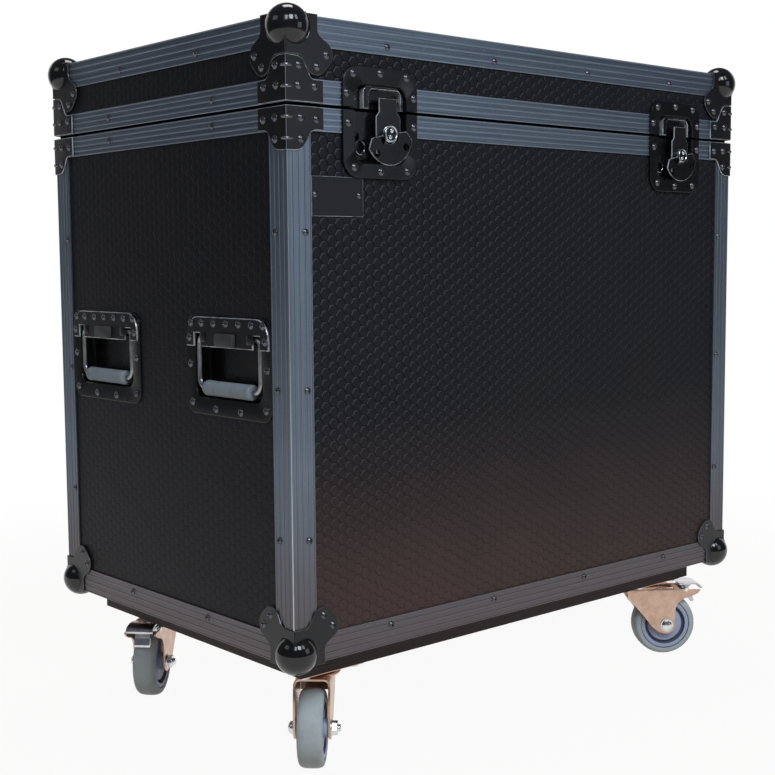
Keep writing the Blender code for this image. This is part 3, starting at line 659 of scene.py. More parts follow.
def folded(outline, thickness, spine, edge=0.0005, inward=1, rim=0):
    # flat outline of (distance along the spine, height) bent to follow a 2D spine
    marks = [0.0]
    for a, b in zip(spine, spine[1:]):
        marks.append(marks[-1] + math.dist(a, b))
    marks = [mark - marks[-1] / 2 for mark in marks]
    shape = bmesh.new()
    shape.from_mesh(slab(outline, 0.0, thickness, edge, rim=rim))
    for mark in marks[1:-1]:
        everything = shape.verts[:] + shape.edges[:] + shape.faces[:]
        bmesh.ops.bisect_plane(shape, geom=everything, dist=1e-7, plane_co=(mark, 0, 0), plane_no=(1, 0, 0))
    headings = [Vector((b[0] - a[0], b[1] - a[1])).normalized() for a, b in zip(spine, spine[1:])]
    leans = [Vector((-heading.y, heading.x)) for heading in headings]
    for vert in shape.verts:
        s, height, depth = vert.co
        i = max(k for k in range(len(headings)) if k == 0 or s >= marks[k] - 1e-7)
        lean = leans[i]
        if i and abs(s - marks[i]) < 2e-7:
            lean = (leans[i] + leans[i - 1]).normalized()
            lean = lean / max(0.3, lean.dot(leans[i]))
        spot = Vector(spine[i]) + headings[i] * (s - marks[i]) + lean * (thickness - depth) * inward
        vert.co = (spot.x, spot.y, height)
    return toMesh(shape)


def scratch(mesh):
    thing = bpy.data.objects.new("scratch", mesh)
    bpy.context.scene.collection.objects.link(thing)
    return thing


def evaluated(thing, *helpers):
    # the object's final mesh, after which it and its helpers are removed
    graph = bpy.context.evaluated_depsgraph_get()
    made = bpy.data.meshes.new_from_object(thing.evaluated_get(graph))
    for item in (thing, *helpers):
        bpy.data.objects.remove(item, do_unlink=True)
    return made


def carved(mesh, *tools):
    thing = scratch(mesh)
    cutters = [scratch(tool) for tool in tools]
    for cutter in cutters:
        modifier = thing.modifiers.new("carve", "BOOLEAN")
        modifier.operation = "DIFFERENCE"
        modifier.solver = "EXACT"
        modifier.object = cutter
    return evaluated(thing, *cutters)


def piece(name, mesh, materials, body, *replaced, slot="black_steel", sharp=21):
    thing = scratch(mesh)
    thing.name = mesh.name = name
    # emptying the slots sets every face back to the first material
    kinds = [face.material_index for face in mesh.polygons]
    mesh.materials.clear()
    for material in materials if isinstance(materials, list) else [materials]:
        mesh.materials.append(material)
    mesh.polygons.foreach_set("material_index", kinds)
    mesh.shade_smooth()
    mesh.set_sharp_from_angle(angle=math.radians(sharp))
    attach(thing, body)
    if replaced:
        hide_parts(*replaced)


fourCorners = [("front_left", -1, -1), ("front_right", 1, -1), ("back_left", -1, 1), ("back_right", 1, 1)]


def atCorner(mesh, sx, sy, z, flip=1):
    # drawn at the front left top corner with +X and +Y going inwards
    return placed(mesh, move(sx * halfWidth, sy * halfDepth, z) @ Matrix.Diagonal((-sx, -sy, flip, 1)))


# rivets: the spots are gathered while the pieces are made, and set at the end

rivet = mm({"large": 4.4, "middle": 3.8, "small": 3.3})       # radius of the flange's shoulder
rivetShape = {"sides": 12, "flange": 1.16, "dome": 0.66}      # shares of that radius
rivetSpots = {}


def addRivet(body, spot, outward, size="large"):
    rivetSpots.setdefault(body, []).append((tuple(spot), outward, rivet[size]))


def frontRivet(body, sy, x, z, size="large", proud=0.0):
    addRivet(body, (x, sy * (halfDepth + proud), z), (0, sy, 0), size)


def endRivet(body, sx, y, z, size="large", proud=0.0):
    addRivet(body, (sx * (halfWidth + proud), y, z), (sx, 0, 0), size)


def lidTopRivet(x, y, size="large", proud=0.0):
    addRivet("lid", (x, y, caseTop + proud), (0, 0, 1), size)


# panels, floor and board keep their solids

for panel in ("lid_shell", "front_panel", "back_panel", "left_panel", "right_panel", "floor_panel",
              "castor_board"):
    nodes[panel].data.materials.clear()
    nodes[panel].data.materials.append(stainedPly if panel == "castor_board" else filmCoat)
print("panels finished")


# edging round the top and bottom, and the rims at the seam

rail = mm({
    "width": 35,
    "sheet": 2,
    "lip": 0.3,
    "arris": 0.8,
    "border": 1.3,
    "ridgeWidth": 1.3,
    "ridgeHeight": 0.7,
    "ridgeSlope": 0.5,
    "rimHeight": 30,
    "rivetInset": 25,
    "frontRivets": (-280, -93.3, 93.3, 280),
    "endRivets": (-93.5, 93.5),
    "rimRivets": (-127, 127),
    "topFrontRivets": (-270, 0, 270),
    "topEndRivets": (-120, 120),
})
ridgeCount = 3


def fluted(a, b, inward):
    # a straight face from a to b with thin ridges, the bands between them sunk along inward
    a, b = Vector(a), Vector(b)
    along = (b - a).normalized()
    deep = Vector(inward) * rail["ridgeHeight"]
    half, slope, border = rail["ridgeWidth"] / 2 * along, rail["ridgeSlope"] * along, rail["border"] * along
    points = [a + border, a + border + slope + deep]
    for k in range(ridgeCount):
        middle = a + (b - a) * (k + 1) / (ridgeCount + 1)
        points += [middle - half - slope + deep, middle - half, middle + half, middle + half + slope + deep]
    return [tuple(point) for point in points + [b - border - slope + deep, b - border]]


def railProfile(edgeZ, up):
    w, t, c, lip = rail["width"], rail["sheet"], rail["arris"], rail["lip"]
    far = edgeZ + up * w
    return ([(t, far), (lip, far), (0, far - up * lip)]
            + fluted((0, far), (0, edgeZ), (1, 0))
            + [(0, edgeZ + up * c), (c * 0.3, edgeZ + up * c * 0.3), (c, edgeZ)]
            + fluted((0, edgeZ), (w, edgeZ), (0, up))
            + [(w, edgeZ), (w, edgeZ + up * t), (t, edgeZ + up * t)])


def rimProfile(up):
    t, c, lip = rail["sheet"], rail["arris"], rail["lip"]
    low, far = seam + up * halfGap, seam + up * rail["rimHeight"]
    groove = [(4, 0), (4, 4), (9, 4), (9, 0)]
    tongue = [(5, 0), (5, 4.8), (5.6, 5.4), (7.4, 5.4), (8, 4.8), (8, 0)]
    back = mm([(14, 0), (14, 12), (11.6, 12), (11.6, 5)]) + [(t, mm(5))]
    return ([(t, far), (lip, far), (0, far - up * lip)]
            + fluted((0, far), (0, low), (1, 0))
            + [(0, low + up * c * 0.6), (c * 0.6, low)]
            + near(0, low, *(groove if up > 0 else tongue))
            + [(inset, low + up * rise) for inset, rise in back])


def mitredFrame(profile):
    # closed profile of (distance inside the case, height) taken round the case
    return loft([[(sx * (halfWidth - inset), sy * (halfDepth - inset), z) for inset, z in profile]
                 for sx, sy in ((-1, -1), (1, -1), (1, 1), (-1, 1))], closed=True)


def seamShadeAndRidgeHighlight(mesh):
    # ridges take the second material, a painted highlight, and what lies inside the seam the third, near
    # black painted shade
    for face in mesh.polygons:
        x, y, z = face.center
        reach = min(halfWidth - abs(x), halfDepth - abs(y), caseTop - z, z - caseBase)
        if abs(z - seam) < 0.0085 and reach > 0.0012:
            face.material_index = 2
        elif reach < 0.0005:
            face.material_index = 1
    return mesh


latch = mm({
    "x": 293,
    "width": 120,
    "above": 51,
    "below": 82,
    "round": 24,
    "openingWidth": 83,
    "openingAbove": 30,
    "openingBelow": 64,
    "openingRound": 15,
    "room": 1.8,          # round the pressing, in the rims
    "sheet": 1.8,
    "depth": 11,
    "floor": 1.2,
    "works": 12,          # working parts sit right of the middle
})


def latchRoom(x):
    reach = latch["openingWidth"] / 2 + latch["room"]
    return brick((x - reach, -halfDepth - 0.05, seam - latch["openingBelow"] - latch["room"]),
                 (x + reach, -halfDepth + 0.0116, seam + latch["openingAbove"] + latch["room"]))


railSet = [railMetal, railRidgeHighlight, seamPaintedShade]
for name, edge, up, body in (("topRails", caseTop, -1, "lid"), ("bottomRails", caseBase, 1, "body")):
    piece(name, seamShadeAndRidgeHighlight(mitredFrame(railProfile(edge, up))), railSet, body, f"{body}_edging", slot="edging")
for body, up in (("lid", 1), ("body", -1)):
    rim = carved(mitredFrame(rimProfile(up)), latchRoom(-latch["x"]), latchRoom(latch["x"]))
    piece(f"{body}Rim", seamShadeAndRidgeHighlight(rim), railSet, body, f"{body}_rim_frame", slot="edging")

inset = rail["rivetInset"]
for body, z, rimZ in (("lid", caseTop - inset, seam + 0.0165), ("body", caseBase + inset, seam - 0.0150)):
    for side in (-1, 1):
        for x in rail["frontRivets"]:
            frontRivet(body, side, x, z, "middle")
        for y in rail["endRivets"]:
            endRivet(body, side, y, z, "middle")
        for y in rail["rimRivets"]:
            endRivet(body, side, y, rimZ, "middle")
for side in (-1, 1):
    for x in rail["topFrontRivets"]:
        lidTopRivet(x, side * (halfDepth - inset), "middle")
    for y in rail["topEndRivets"]:
        lidTopRivet(side * (halfWidth - inset), y, "middle")
print("rails and rims made")


# corner posts, one profile drawn along each upright by a node tree

postRivets = mm({"inset": 26, "levels": (674.5, 488, 308)})


def geometryTree(name, **inputs):
    tree = bpy.data.node_groups.new(name, "GeometryNodeTree")
    tree.interface.new_socket("Geometry", in_out="INPUT", socket_type="NodeSocketGeometry")
    for label, kind in inputs.items():
        tree.interface.new_socket(label, in_out="INPUT", socket_type=f"NodeSocket{kind}")
    tree.interface.new_socket("Geometry", in_out="OUTPUT", socket_type="NodeSocketGeometry")
    graph = Graph(tree)
    return graph, graph.node("NodeGroupInput")


def closeTree(graph, geometry, metal):
    whole = graph.node("GeometryNodeRealizeInstances", sockets={"Geometry": geometry})
    whole = graph.node("GeometryNodeSetMaterial", sockets={"Geometry": whole, "Material": metal})
    graph.node("NodeGroupOutput", sockets={"Geometry": whole})


def runTree(graph, mesh, values, *helpers):
    thing = scratch(mesh)
    modifier = thing.modifiers.new("nodes", "NODES")
    modifier.node_group = graph.tree
    for item in graph.tree.interface.items_tree:
        if item.in_out == "INPUT" and item.name in values:
            modifier[item.identifier] = values[item.name]
    return evaluated(thing, *helpers)


g, start = geometryTree("cornerPosts", Profile="Object", Width="Float", Depth="Float",
                        Bottom="Float", Top="Float", Metal="Material")
profile = g.node("GeometryNodeObjectInfo", sockets={"Object": start.other("Profile")}, take="Geometry")
outline = g.node("GeometryNodeMeshToCurve", sockets={"Mesh": profile})
upright = g.node("GeometryNodeCurvePrimitiveLine", sockets={
    "Start": g.joined(0.0, 0.0, start.other("Bottom")), "End": g.joined(0.0, 0.0, start.other("Top"))})
post = g.node("GeometryNodeCurveToMesh", sockets={
    "Curve": upright, "Profile Curve": outline, "Fill Caps": True})
spots = g.node("GeometryNodeMeshGrid", sockets={
    "Size X": start.other("Width"), "Size Y": start.other("Depth"), "Vertices X": 2, "Vertices Y": 2})
px, py, pz = g.split(g.node("GeometryNodeInputPosition"))
heading = py.maths("SIGN").maths("ARCTAN2", px.maths("SIGN")) + math.radians(135)
posts = g.node("GeometryNodeInstanceOnPoints", sockets={
    "Points": spots, "Instance": post, "Rotation": g.joined(0.0, 0.0, heading)})
closeTree(g, posts, start.other("Metal"))
postGraph = g


def postOutline():
    w, t, c = rail["width"], rail["sheet"], rail["arris"]
    points = ([(w, t), (t, t), (t, w), (0, w)] + fluted((0, w), (0, 0), (1, 0))
              + [(0, c), (c * 0.3, c * 0.3), (c, 0)] + fluted((0, 0), (w, 0), (0, 1)) + [(w, 0)])
    shape = bmesh.new()
    verts = [shape.verts.new((x, y, 0)) for x, y in points]
    for a, b in zip(verts, verts[1:] + verts[:1]):
        shape.edges.new((a, b))
    return toMesh(shape, clean=False)


def cornerPosts(bottom, top):
    drawn = scratch(postOutline())
    mesh = runTree(postGraph, bpy.data.meshes.new("posts"), {
        "Profile": drawn, "Width": 2 * halfWidth, "Depth": 2 * halfDepth,
        "Bottom": bottom, "Top": top, "Metal": postMetal}, drawn)
    shape = bmesh.new()
    shape.from_mesh(mesh)
    return toMesh(shape)


for body, low, high in (("lid", seam + rail["rimHeight"], caseTop - rail["width"]),
                        ("body", caseBase + rail["width"], seam - rail["rimHeight"])):
    posts = cornerPosts(low + gap, high - gap)
    piece(f"{body}Posts", seamShadeAndRidgeHighlight(posts), [postMetal, postRidgeHighlight], body, slot="edging")
for _, sx, sy in fourCorners:
    for z in postRivets["levels"]:
        frontRivet("body", sy, sx * (halfWidth - postRivets["inset"]), z, "middle")
        endRivet("body", sx, sy * (halfDepth - postRivets["inset"]), z, "middle")
print("posts made")


# folded corner braces with their ribs

brace = mm({
    "sheet": 1.8,
    "bend": 2.1,
    "reach": 54,
    "edge": 0.6,
    "ribReach": 7.8,      # along each face
    "ribProud": 1.9,
    "ribHalf": 2.3,
    "ribBend": 2.4,
    "lidRibs": (43, 19),
    "bodyRibs": (-15.5, -40),
    # half outlines along the unbent plate, from the end of the arm, and heights from the seam
    "lidArm": [(55, 2.5), (55, 29)],
    "lidTongue": [(44, 29), (38.5, 29.5), (34.5, 33), (30, 43), (24, 52), (16, 54.7), (8, 55)],
    "bodyArm": [(55, -2.5), (55, -29)],
    "bodyTongue": [(44, -29), (38.5, -30), (34.5, -33.5), (31, -40), (25.5, -49), (18, -53), (8, -53.5)],
    "lidRivets": [(18, 44), (17, 21), (41, 21)],
    "bodyRivets": [(20, -15.5), (43, -16.5), (20, -40)],
})
braceProud = brace["sheet"] + gap


def foldedBrace(half):
    radius, reach = brace["bend"], brace["reach"] + braceProud
    bend = arc(radius - braceProud, radius - braceProud, radius, 180, 270, 6)
    spine = [(-braceProud, reach), *bend, (reach, -braceProud)]
    outline = half + [(-s, v) for s, v in reversed(half)]
    return folded(outline, brace["sheet"], spine, brace["edge"], rim=1)


def rib(height):
    # a bead pressed out across the fold, tapered at both ends
    reach, thick = brace["ribReach"], brace["ribHalf"]
    level = thick - brace["ribProud"] - braceProud
    corner = level + brace["ribBend"]
    fold = arc(corner, corner, brace["ribBend"], 180, 270, 6)
    arm = [(level, reach * share) for share in (1, 0.7, 0.4)]
    path = arm + fold + [(y, x) for x, y in reversed(arm)]
    sizes = [0.35, 0.72, 0.92] + [1.0] * len(fold) + [0.92, 0.72, 0.35]
    return tube([(x, y, height) for x, y in path], [thick * size for size in sizes])


for body in ("lid", "body"):
    plate = foldedBrace(brace[f"{body}Arm"] + eased(brace[f"{body}Tongue"]))
    # the ribs take the lighter metallic copy, a painted highlight
    whole = merged(plate, painted(merged(*[rib(height) for height in brace[f"{body}Ribs"]]), 2))
    piece(f"{body}Braces", merged(*[atCorner(whole, sx, sy, seam) for _, sx, sy in fourCorners]),
          [braceEnamel, cutEdge, ribHighlightSteel], body)
    for _, sx, sy in fourCorners:
        for reach, rise in brace[f"{body}Rivets"]:
            frontRivet(body, sy, sx * (halfWidth - reach), seam + rise, proud=braceProud)
            endRivet(body, sx, sy * (halfDepth - reach), seam + rise, proud=braceProud)
print("braces made")


# ball corners, drawn at the front left top with the plates outside the case

ball = mm({
    "radius": 26,
    "inset": 13,
    "sheet": 1.5,
    "edge": 0.6,
    "bead": 0.6,
    "foot": 36,
    "footRound": 4,
    "ear": [(46, 16), (47.5, 21.5), (55, 26.5), (64, 31.5), (68.5, 40), (68, 49.5), (60, 59)],
    "rivets": [(59, 43.5), (45, 58)],
})
ballProud = gap + ball["sheet"]
downFront = axes((1, 0, 0), (0, 0, -1), (0, -1, 0))      # from the top face to the front
downSide = axes((0, 0, -1), (1, 0, 0), (0, -1, 0))       # and to the end


def ballSphere():
    shape = bmesh.new()
    bmesh.ops.create_uvsphere(shape, u_segments=56, v_segments=28, radius=ball["radius"])
    shape.transform(move(ball["inset"], ball["inset"], -ball["inset"]))
    return carved(toMesh(shape), brick((-gap, -gap, -0.2), (0.2, 0.2, gap)))


def lipBead():
    # the ball's rolled edge on one face, a thin bead in the plane of the plate
    inset = ball["inset"]
    plane = inset + ballProud
    size = math.sqrt(ball["radius"] ** 2 - plane ** 2) + 0.0003
    first = math.degrees(math.asin(min(1.0, plane / size)))
    ring = arc(inset, inset, size, -90 + first, 180 - first, 56)
    return tube([(x, y, ballProud) for x, y in ring], ball["bead"], 8)


def ballCorner(ears):
    start = -ballProud
    half = [(mm(46), start), (mm(46), mm(12))] + eased(ball["ear"])
    ear = [(start, start), *half, *[(b, a) for a, b in reversed(half)]]
    wide, middle = ball["foot"] - start, (ball["foot"] + start) / 2
    foot = ear if ears else roundedBox(wide, wide, ball["footRound"], middle, middle, 3)
    sheet = slab(ear, gap, ballProud, ball["edge"], rim=2)
    flat = slab(foot, gap, ballProud - 0.0001, ball["edge"], rim=2)
    bead = lipBead()
    shiny = merged(ballSphere(), bead, placed(bead, downFront), placed(bead, downSide))
    return merged(painted(shiny, 1), placed(sheet, downFront), placed(sheet, downSide), flat)


lidBall, baseBall = ballCorner(True), ballCorner(False)
ballSet = [blackEnamel, glossEnamel, dimEdge]
for spot, sx, sy in fourCorners:
    for end, body, mesh, level, flip in (("lid", "lid", lidBall, caseTop, 1),
                                         ("base", "body", baseBall, caseBase, -1)):
        piece(f"{end}Ball_{spot}", atCorner(mesh, sx, sy, level, flip), ballSet, body,
              f"{end}_corner_{spot}")
    for a, b in ball["rivets"]:
        for body, z in (("lid", caseTop - b), ("body", caseBase + b)):
            frontRivet(body, sy, sx * (halfWidth - a), z, proud=ballProud)
            endRivet(body, sx, sy * (halfDepth - a), z, proud=ballProud)
        lidTopRivet(sx * (halfWidth - a), sy * (halfDepth - b), proud=ballProud)
print("ball corners made")


def dished(opening, flange, levels, rows, place):
    # rows of (outline, wider, taller, rounder, level, deeper) in mm, from the floor out and round its back
    loops = []
    for kind, wider, taller, rounder, level, deeper in rows:
        width, low, high, radius = opening if kind == "opening" else flange
        outline = roundedBox(width + mm(wider), high - low + mm(taller), radius + mm(rounder),
                             0, (low + high) / 2)
        loops.append([place(levels[level] + mm(deeper), a, b) for a, b in outline])
    return loft(loops)


# handles, drawn with +X out of the case and the origin on the panel's face

handle = mm({
    "y": 151,
    "z": 510,
    "inset": 2.3,         # the panel's face behind the edging's
    "width": 187,
    "height": 125,
    "round": 18,
    "sheet": 1.8,
    "panDepth": 24,
    "openingWidth": 146,
    "openingLow": -41,
    "openingHigh": 46,
    "openingRound": 15,
    "coverWidth": 178,
    "coverLow": 24,
    "coverSheet": 2,
    "coverRound": 26,
    "slot": (57, 71.5, 41),
    "bump": (40, 17, 25, 5),
    "bearings": (46, 58),
    "wire": 3.5,
    "halfWire": 66.5,
    "pivot": 36,
    "drop": 64.5,
    "gripRadius": 10,
    "gripLength": 100,
    "coverRivets": [(y, 54) for y in (-78, -54, -27, 0, 27, 54, 78)] + [(-82, 35), (82, 35)],
    "flangeRivets": [(-83.5, 1), (83.5, 1), (-80, -48), (80, -48), (-27, -54), (27, -54)],
})
handleFace = gap + handle["sheet"]
handleBack = handleFace - handle["panDepth"]
coverFace = handleFace + handle["coverSheet"]
handleRows = [
    ("opening", -10, -10, -5, "back", 1.5),
    ("opening", -4.8, -4.8, -2.5, "back", 3),
    ("opening", -2.6, -2.6, -1.5, "back", 6),
    ("opening", -0.8, -0.8, -0.5, "face", -2.2),
    ("opening", 0.2, 0.2, 0, "face", -0.9),
    ("opening", 1.8, 1.8, 0.8, "face", -0.2),
    ("opening", 3.4, 3.4, 1.6, "face", 0),
    ("flange", -1.4, -1.4, -0.7, "face", 0),
    ("flange", -0.4, -0.4, -0.2, "face", -0.3),
    ("flange", 0, 0, 0, "face", -0.9),
    ("flange", 0, 0, 0, "seat", 0),
    ("opening", 2.6, 2.6, 0.8, "seat", -0.2),
    ("opening", 1.2, 1.2, 0, "back", 4),
    ("opening", -7, -7, -4, "back", 0),
]


def handleDish():
    h = handle
    return dished((h["openingWidth"], h["openingLow"], h["openingHigh"], h["openingRound"]),
                  (h["width"], -h["height"] / 2, h["height"] / 2, h["round"]),
                  {"back": handleBack, "face": handleFace, "seat": gap}, handleRows,
                  lambda depth, y, z: (depth, y, z))


def handleCover():
    half, low, high = handle["coverWidth"] / 2, handle["coverLow"], handle["height"] / 2 - 0.0006
    inner, outer, slotTop = handle["slot"]
    corner = handle["coverRound"]
    right = ([(inner, low), (inner, slotTop), (outer, slotTop), (outer, low), (half, low)]
             + arc(half - corner, high - corner, corner, 0, 90, 8))
    outline = right + [(-y, z) for y, z in reversed(right)]
    sheet = placed(slab(outline, handleFace + 0.00002, coverFace, 0.0010, rim=3), toEnd)
    for face in sheet.polygons:
        face.material_index = face.material_index or 1
    # pressed hood over each end of the wire
    hoods = []
    for side in (-1, 1):
        y, z = side * (inner - 0.006), handle["pivot"]
        hoods.append(brick((handleFace, y - 0.006, z - 0.0062),
                           (coverFace + 0.0012, y + 0.006, z + 0.0062), 0.0012, 3))
    return merged(sheet, painted(merged(*hoods), 1))


def handleBump():
    wide, tall, low, out = handle["bump"]
    outline = roundedBox(wide, tall, 0.003, 0.0, low + tall / 2, 4)
    return placed(slab(outline, coverFace - 0.0005, coverFace + out, 0.0022, 3), toEnd)


def handleBearings():
    made = []
    for side in (-1, 1):
        low, high = sorted(side * reach for reach in handle["bearings"])
        made.append(brick((handleBack + 0.0012, low, handle["pivot"] - 0.007),
                          (handleFace + 0.0010, high, handle["pivot"] + 0.007), 0.0012))
    return merged(*made)


def bailWire():
    side, drop = handle["halfWire"], handle["drop"]
    half = (mm([(48, 0), (53, 0)]) + arc(side - 0.008, -0.008, 0.008, 90, 0, 6)
            + [(side, -0.020), (side, -0.035)] + arc(side - 0.013, 0.013 - drop, 0.013, 0, -90, 8))
    return tube([(0, y, z) for y, z in half + [(-y, z) for y, z in reversed(half)]], handle["wire"], 16)


def gripSleeve():
    radius, half, bore = handle["gripRadius"], handle["gripLength"] / 2, handle["wire"] + 0.0001
    end = [(bore, -half)] + near(radius, -half, (-2.2, 0), (-0.6, 1), (0, 3), (-0.4, 14))
    profile = end + [(r, -s) for r, s in reversed(end)]
    return placed(lathe(profile + profile[:1], 40), move(z=-handle["drop"]) @ turn(90, "X"))


pressing = painted(merged(handleDish(), handleBearings()), 0)
dishMesh = merged(pressing, handleCover(), painted(handleBump(), 2))
bailMesh, sleeveMesh = bailWire(), gripSleeve()
for end, side in (("left", -1), ("right", 1)):
    for row, sy in (("front", -1), ("back", 1)):
        name = f"handle_{end}_{row}"
        seat = (move(side * (halfWidth - handle["inset"]), sy * handle["y"], handle["z"])
                @ turn(0 if side > 0 else 180, "Z"))
        pivot = seat @ move(handle["sheet"] - handle["wire"], 0, handle["pivot"])
        piece(f"dish_{end}_{row}", placed(dishMesh, seat), [panShadeEnamel, blackEnamel, bumpRubber, cutEdge],
              "body", f"{name}_dish")
        piece(f"bail_{end}_{row}", placed(bailMesh, pivot), wireSteel, f"{name}_bail", f"{name}_bail",
              slot="grey_steel")
        piece(f"grip_{end}_{row}", placed(sleeveMesh, pivot), gripRubber, f"{name}_bail", f"{name}_grip",
              slot="grip_rubber")
        for kind, level in (("coverRivets", coverFace), ("flangeRivets", handleFace)):
            for y, z in handle[kind]:
                addRivet("body", seat @ Vector((level, y, z)), (side, 0, 0))
print("handles made")


# butterfly latches, drawn with the origin on the seam and y growing inwards

latchRows = [
    ("opening", -10, -10, -4, "floor", 0),
    ("opening", -4.8, -4.8, -1.8, "floor", -1.6),
    ("opening", -2.6, -2.6, -1, "floor", -4.2),
    ("opening", -0.6, -0.6, 0, "face", 1.6),
    ("opening", -0.1, 0, 0.2, "face", 0.8),
    ("opening", 0.8, 0.8, 0.6, "face", 0.2),
    ("opening", 1.8, 1.8, 1, "face", 0),
    ("flange", -1.6, -1.6, -0.8, "face", 0),
    ("flange", -0.5, -0.4, -0.2, "face", 0.3),
    ("flange", 0, 0, 0, "face", 0.9),
    ("flange", 0, 0, 0, "seat", 0),
    ("opening", 2.6, 2.6, 1.2, "seat", 0.1),
    ("opening", 1.2, 1.2, 0.6, "back", -3),
    ("opening", -7, -7, -3, "back", 0),
]
latchRivets = mm({
    "lid": [(-43, 41.5), (0, 44.5), (42.5, 42.5), (-53, 18), (54.5, 18)],
    "body": [(-50.5, -17), (54.5, -17), (-42, -69.5), (0, -73.5), (43.5, -71.5)],
})
floorRivets = mm({"lid": [(-30.5, 15)], "body": [(-32.5, -29), (34.5, -52)]})
hook = mm({"width": 29, "base": 39, "sheet": 1.6, "top": 42.5, "step": 26, "slope": 6, "low": -24.5,
           "claw": 6, "slot": 5.6, "travel": 10})
spindle = mm({"drop": 27.5, "shaft": 5, "boss": 10, "front": 8, "pin": 1.6, "pinReach": 13.5,
              "pinProud": 5.2, "headOffset": 4.1})
wing = mm({"radius": 38, "shoulder": 28.5, "sheet": 1.6, "back": 2.4, "hole": 4.8, "holeReach": 31,
           "lugIn": 10.4, "lugOut": 12.2})
wingAngle = {"half": 70, "root": 88, "hole": 51, "twist": 11}
keeperFrame = mm([(-23.5, 0), (-15, 0), (-15, 20.5), (-10.5, 25.8), (33, 25.8), (37, 20.5), (37, 0),
                  (40.2, 0), (40.2, 23.8), (35.2, 28.8), (-18.5, 28.8), (-23.5, 23.8)])
latchFace, latchBack = -gap - latch["sheet"], latch["depth"] + gap
panFloor = latchBack - latch["floor"]


def latchDish():
    k = latch
    return dished((k["openingWidth"], -k["openingBelow"], k["openingAbove"], k["openingRound"]),
                  (k["width"], -k["below"], k["above"], k["round"]),
                  {"floor": panFloor, "face": latchFace, "seat": -gap, "back": latchBack}, latchRows,
                  lambda depth, x, z: (x, depth, z))


def keeper():
    # raised frame on the floor of the lid dish, its corners cut, and its feet at the seam's gap
    outline = [(x, max(z, halfGap)) for x, z in keeperFrame]
    frame = placed(slab(outline, -panFloor - 0.0004, -0.0034, 0.0007, rim=1), toFront)
    x = latch["works"]
    bar = brick((x - 0.0275, 0.0075, 0.0095), (x + 0.0275, panFloor + 0.0004, 0.0135), 0.0007)
    return merged(frame, bar)


def padlockRing():
    ring = [(-0.0262 + 0.0075 * c, panFloor - 0.0030, -0.0450 + 0.0082 * s) for c, s in circle(1, 32)]
    post = brick((-0.0290, panFloor - 0.0040, -0.0370), (-0.0215, panFloor + 0.0004, -0.0270), 0.0008)
    return painted(tube(ring, 0.0011, 10, closed=True), 1), painted(post, 0)


def hookPlate():
    k = hook
    x, base, sheet = k["width"] / 2, k["base"] / 2, k["sheet"]
    right = [(base, k["low"]), (base, k["step"] - k["slope"]), (x, k["step"]), (x, k["top"])]
    outline = right + [(-a, z) for a, z in reversed(right)]
    plate = placed(slab(outline, gap, gap + sheet, 0.0005, rim=1), toFront)
    claw = brick((0.001 - x, 0.0002 - gap - sheet, k["top"] - 0.0025),
                 (x - 0.001, k["claw"] - gap, k["top"] - 0.0001), 0.0006)
    window = arc(0, 0, k["slot"], 0, 180, 12) + arc(0, -k["travel"], k["slot"], 180, 360, 12)
    return carved(merged(plate, claw), placed(slab(window, -0.05, 0.05), toFront))


def spindleWorks():
    # ribbed boss on its shaft, with the cross pin and two rivet ends in its face
    k = spindle
    out, rim, foot = k["front"], k["boss"], gap - panFloor
    profile = [(0, out - 0.0006)] + near(rim, out, (-2, -0.6), (-1.4, 0), (-0.4, 0), (0, -0.4))
    for depth in (1.6, 3.4):
        profile += near(rim, out, (0, 0.6 - depth), (-1.1, 0.1 - depth), (-1.1, -0.5 - depth),
                        (0, -1 - depth))
    profile += near(rim, 0, (0, 2.6), (-0.6, 2.1)) + [(k["shaft"], 0.0021), (k["shaft"], foot), (0, foot)]
    boss = lathe(profile, 40)
    for face in boss.polygons:
        x, y, z = face.center
        if z > out - 0.001 and math.hypot(x, y) < rim - 0.0021:
            face.material_index = 2
    pin = placed(rod(k["pin"], -k["pinReach"], k["pinReach"], 16, 0.0004),
                 turn(-wingAngle["twist"], "Y") @ move(y=-k["pinProud"]) @ turn(90, "Y"))
    head = lathe(mm([(0, 1), (1.2, 0.9), (2.3, 0.4), (3, -0.4), (3, -1.2), (0, -1.2)]), 20)
    heads = [placed(head, turn(18, "Y") @ move(y=0.0004 - out, z=side * k["headOffset"]) @ turn(90, "X"))
             for side in (-1, 1)]
    return merged(placed(boss, turn(90, "X")), painted(pin, 0), painted(merged(*heads), 1))


def wingPlate():
    k = wing
    half, root = wingAngle["half"], wingAngle["root"]
    across, down = math.sin(math.radians(root)), -math.cos(math.radians(root))
    inner = k["lugOut"] / across
    shoulder = k["shoulder"] * across, k["shoulder"] * down
    fan = [(-shoulder[0], shoulder[1]), *arc(0, 0, k["radius"], -90 - half, -90 + half, 24), shoulder,
           *arc(0, 0, inner, -90 + root, -90 - root, 12)]
    holes = [placed(rod(k["hole"], -0.05, 0.05, 20), move(x, 0, z) @ turn(90, "X"))
             for x, z in arc(0, 0, k["holeReach"], -90 - wingAngle["hole"], -90 + wingAngle["hole"], 1)]
    sheet = carved(placed(slab(fan, k["back"], k["back"] + k["sheet"], 0.0005, rim=1), toFront), *holes)
    out, radius = spindle["pinProud"], spindle["pinProud"] - k["back"]
    profile = [(-k["back"], 0.0), *arc(-out, 0.0, radius, 0, 180, 8), (-out - radius, -inner * 0.62),
               (-out + radius * 0.2, -inner * 0.95), (-k["back"], -inner * 0.95)]
    lugs = []
    for side in (-1, 1):
        low, high = sorted((side * k["lugIn"], side * k["lugOut"]))
        lugs.append(placed(slab(profile, low, high, 0.0003, 1, under=True), toEnd))
    return merged(sheet, *lugs)


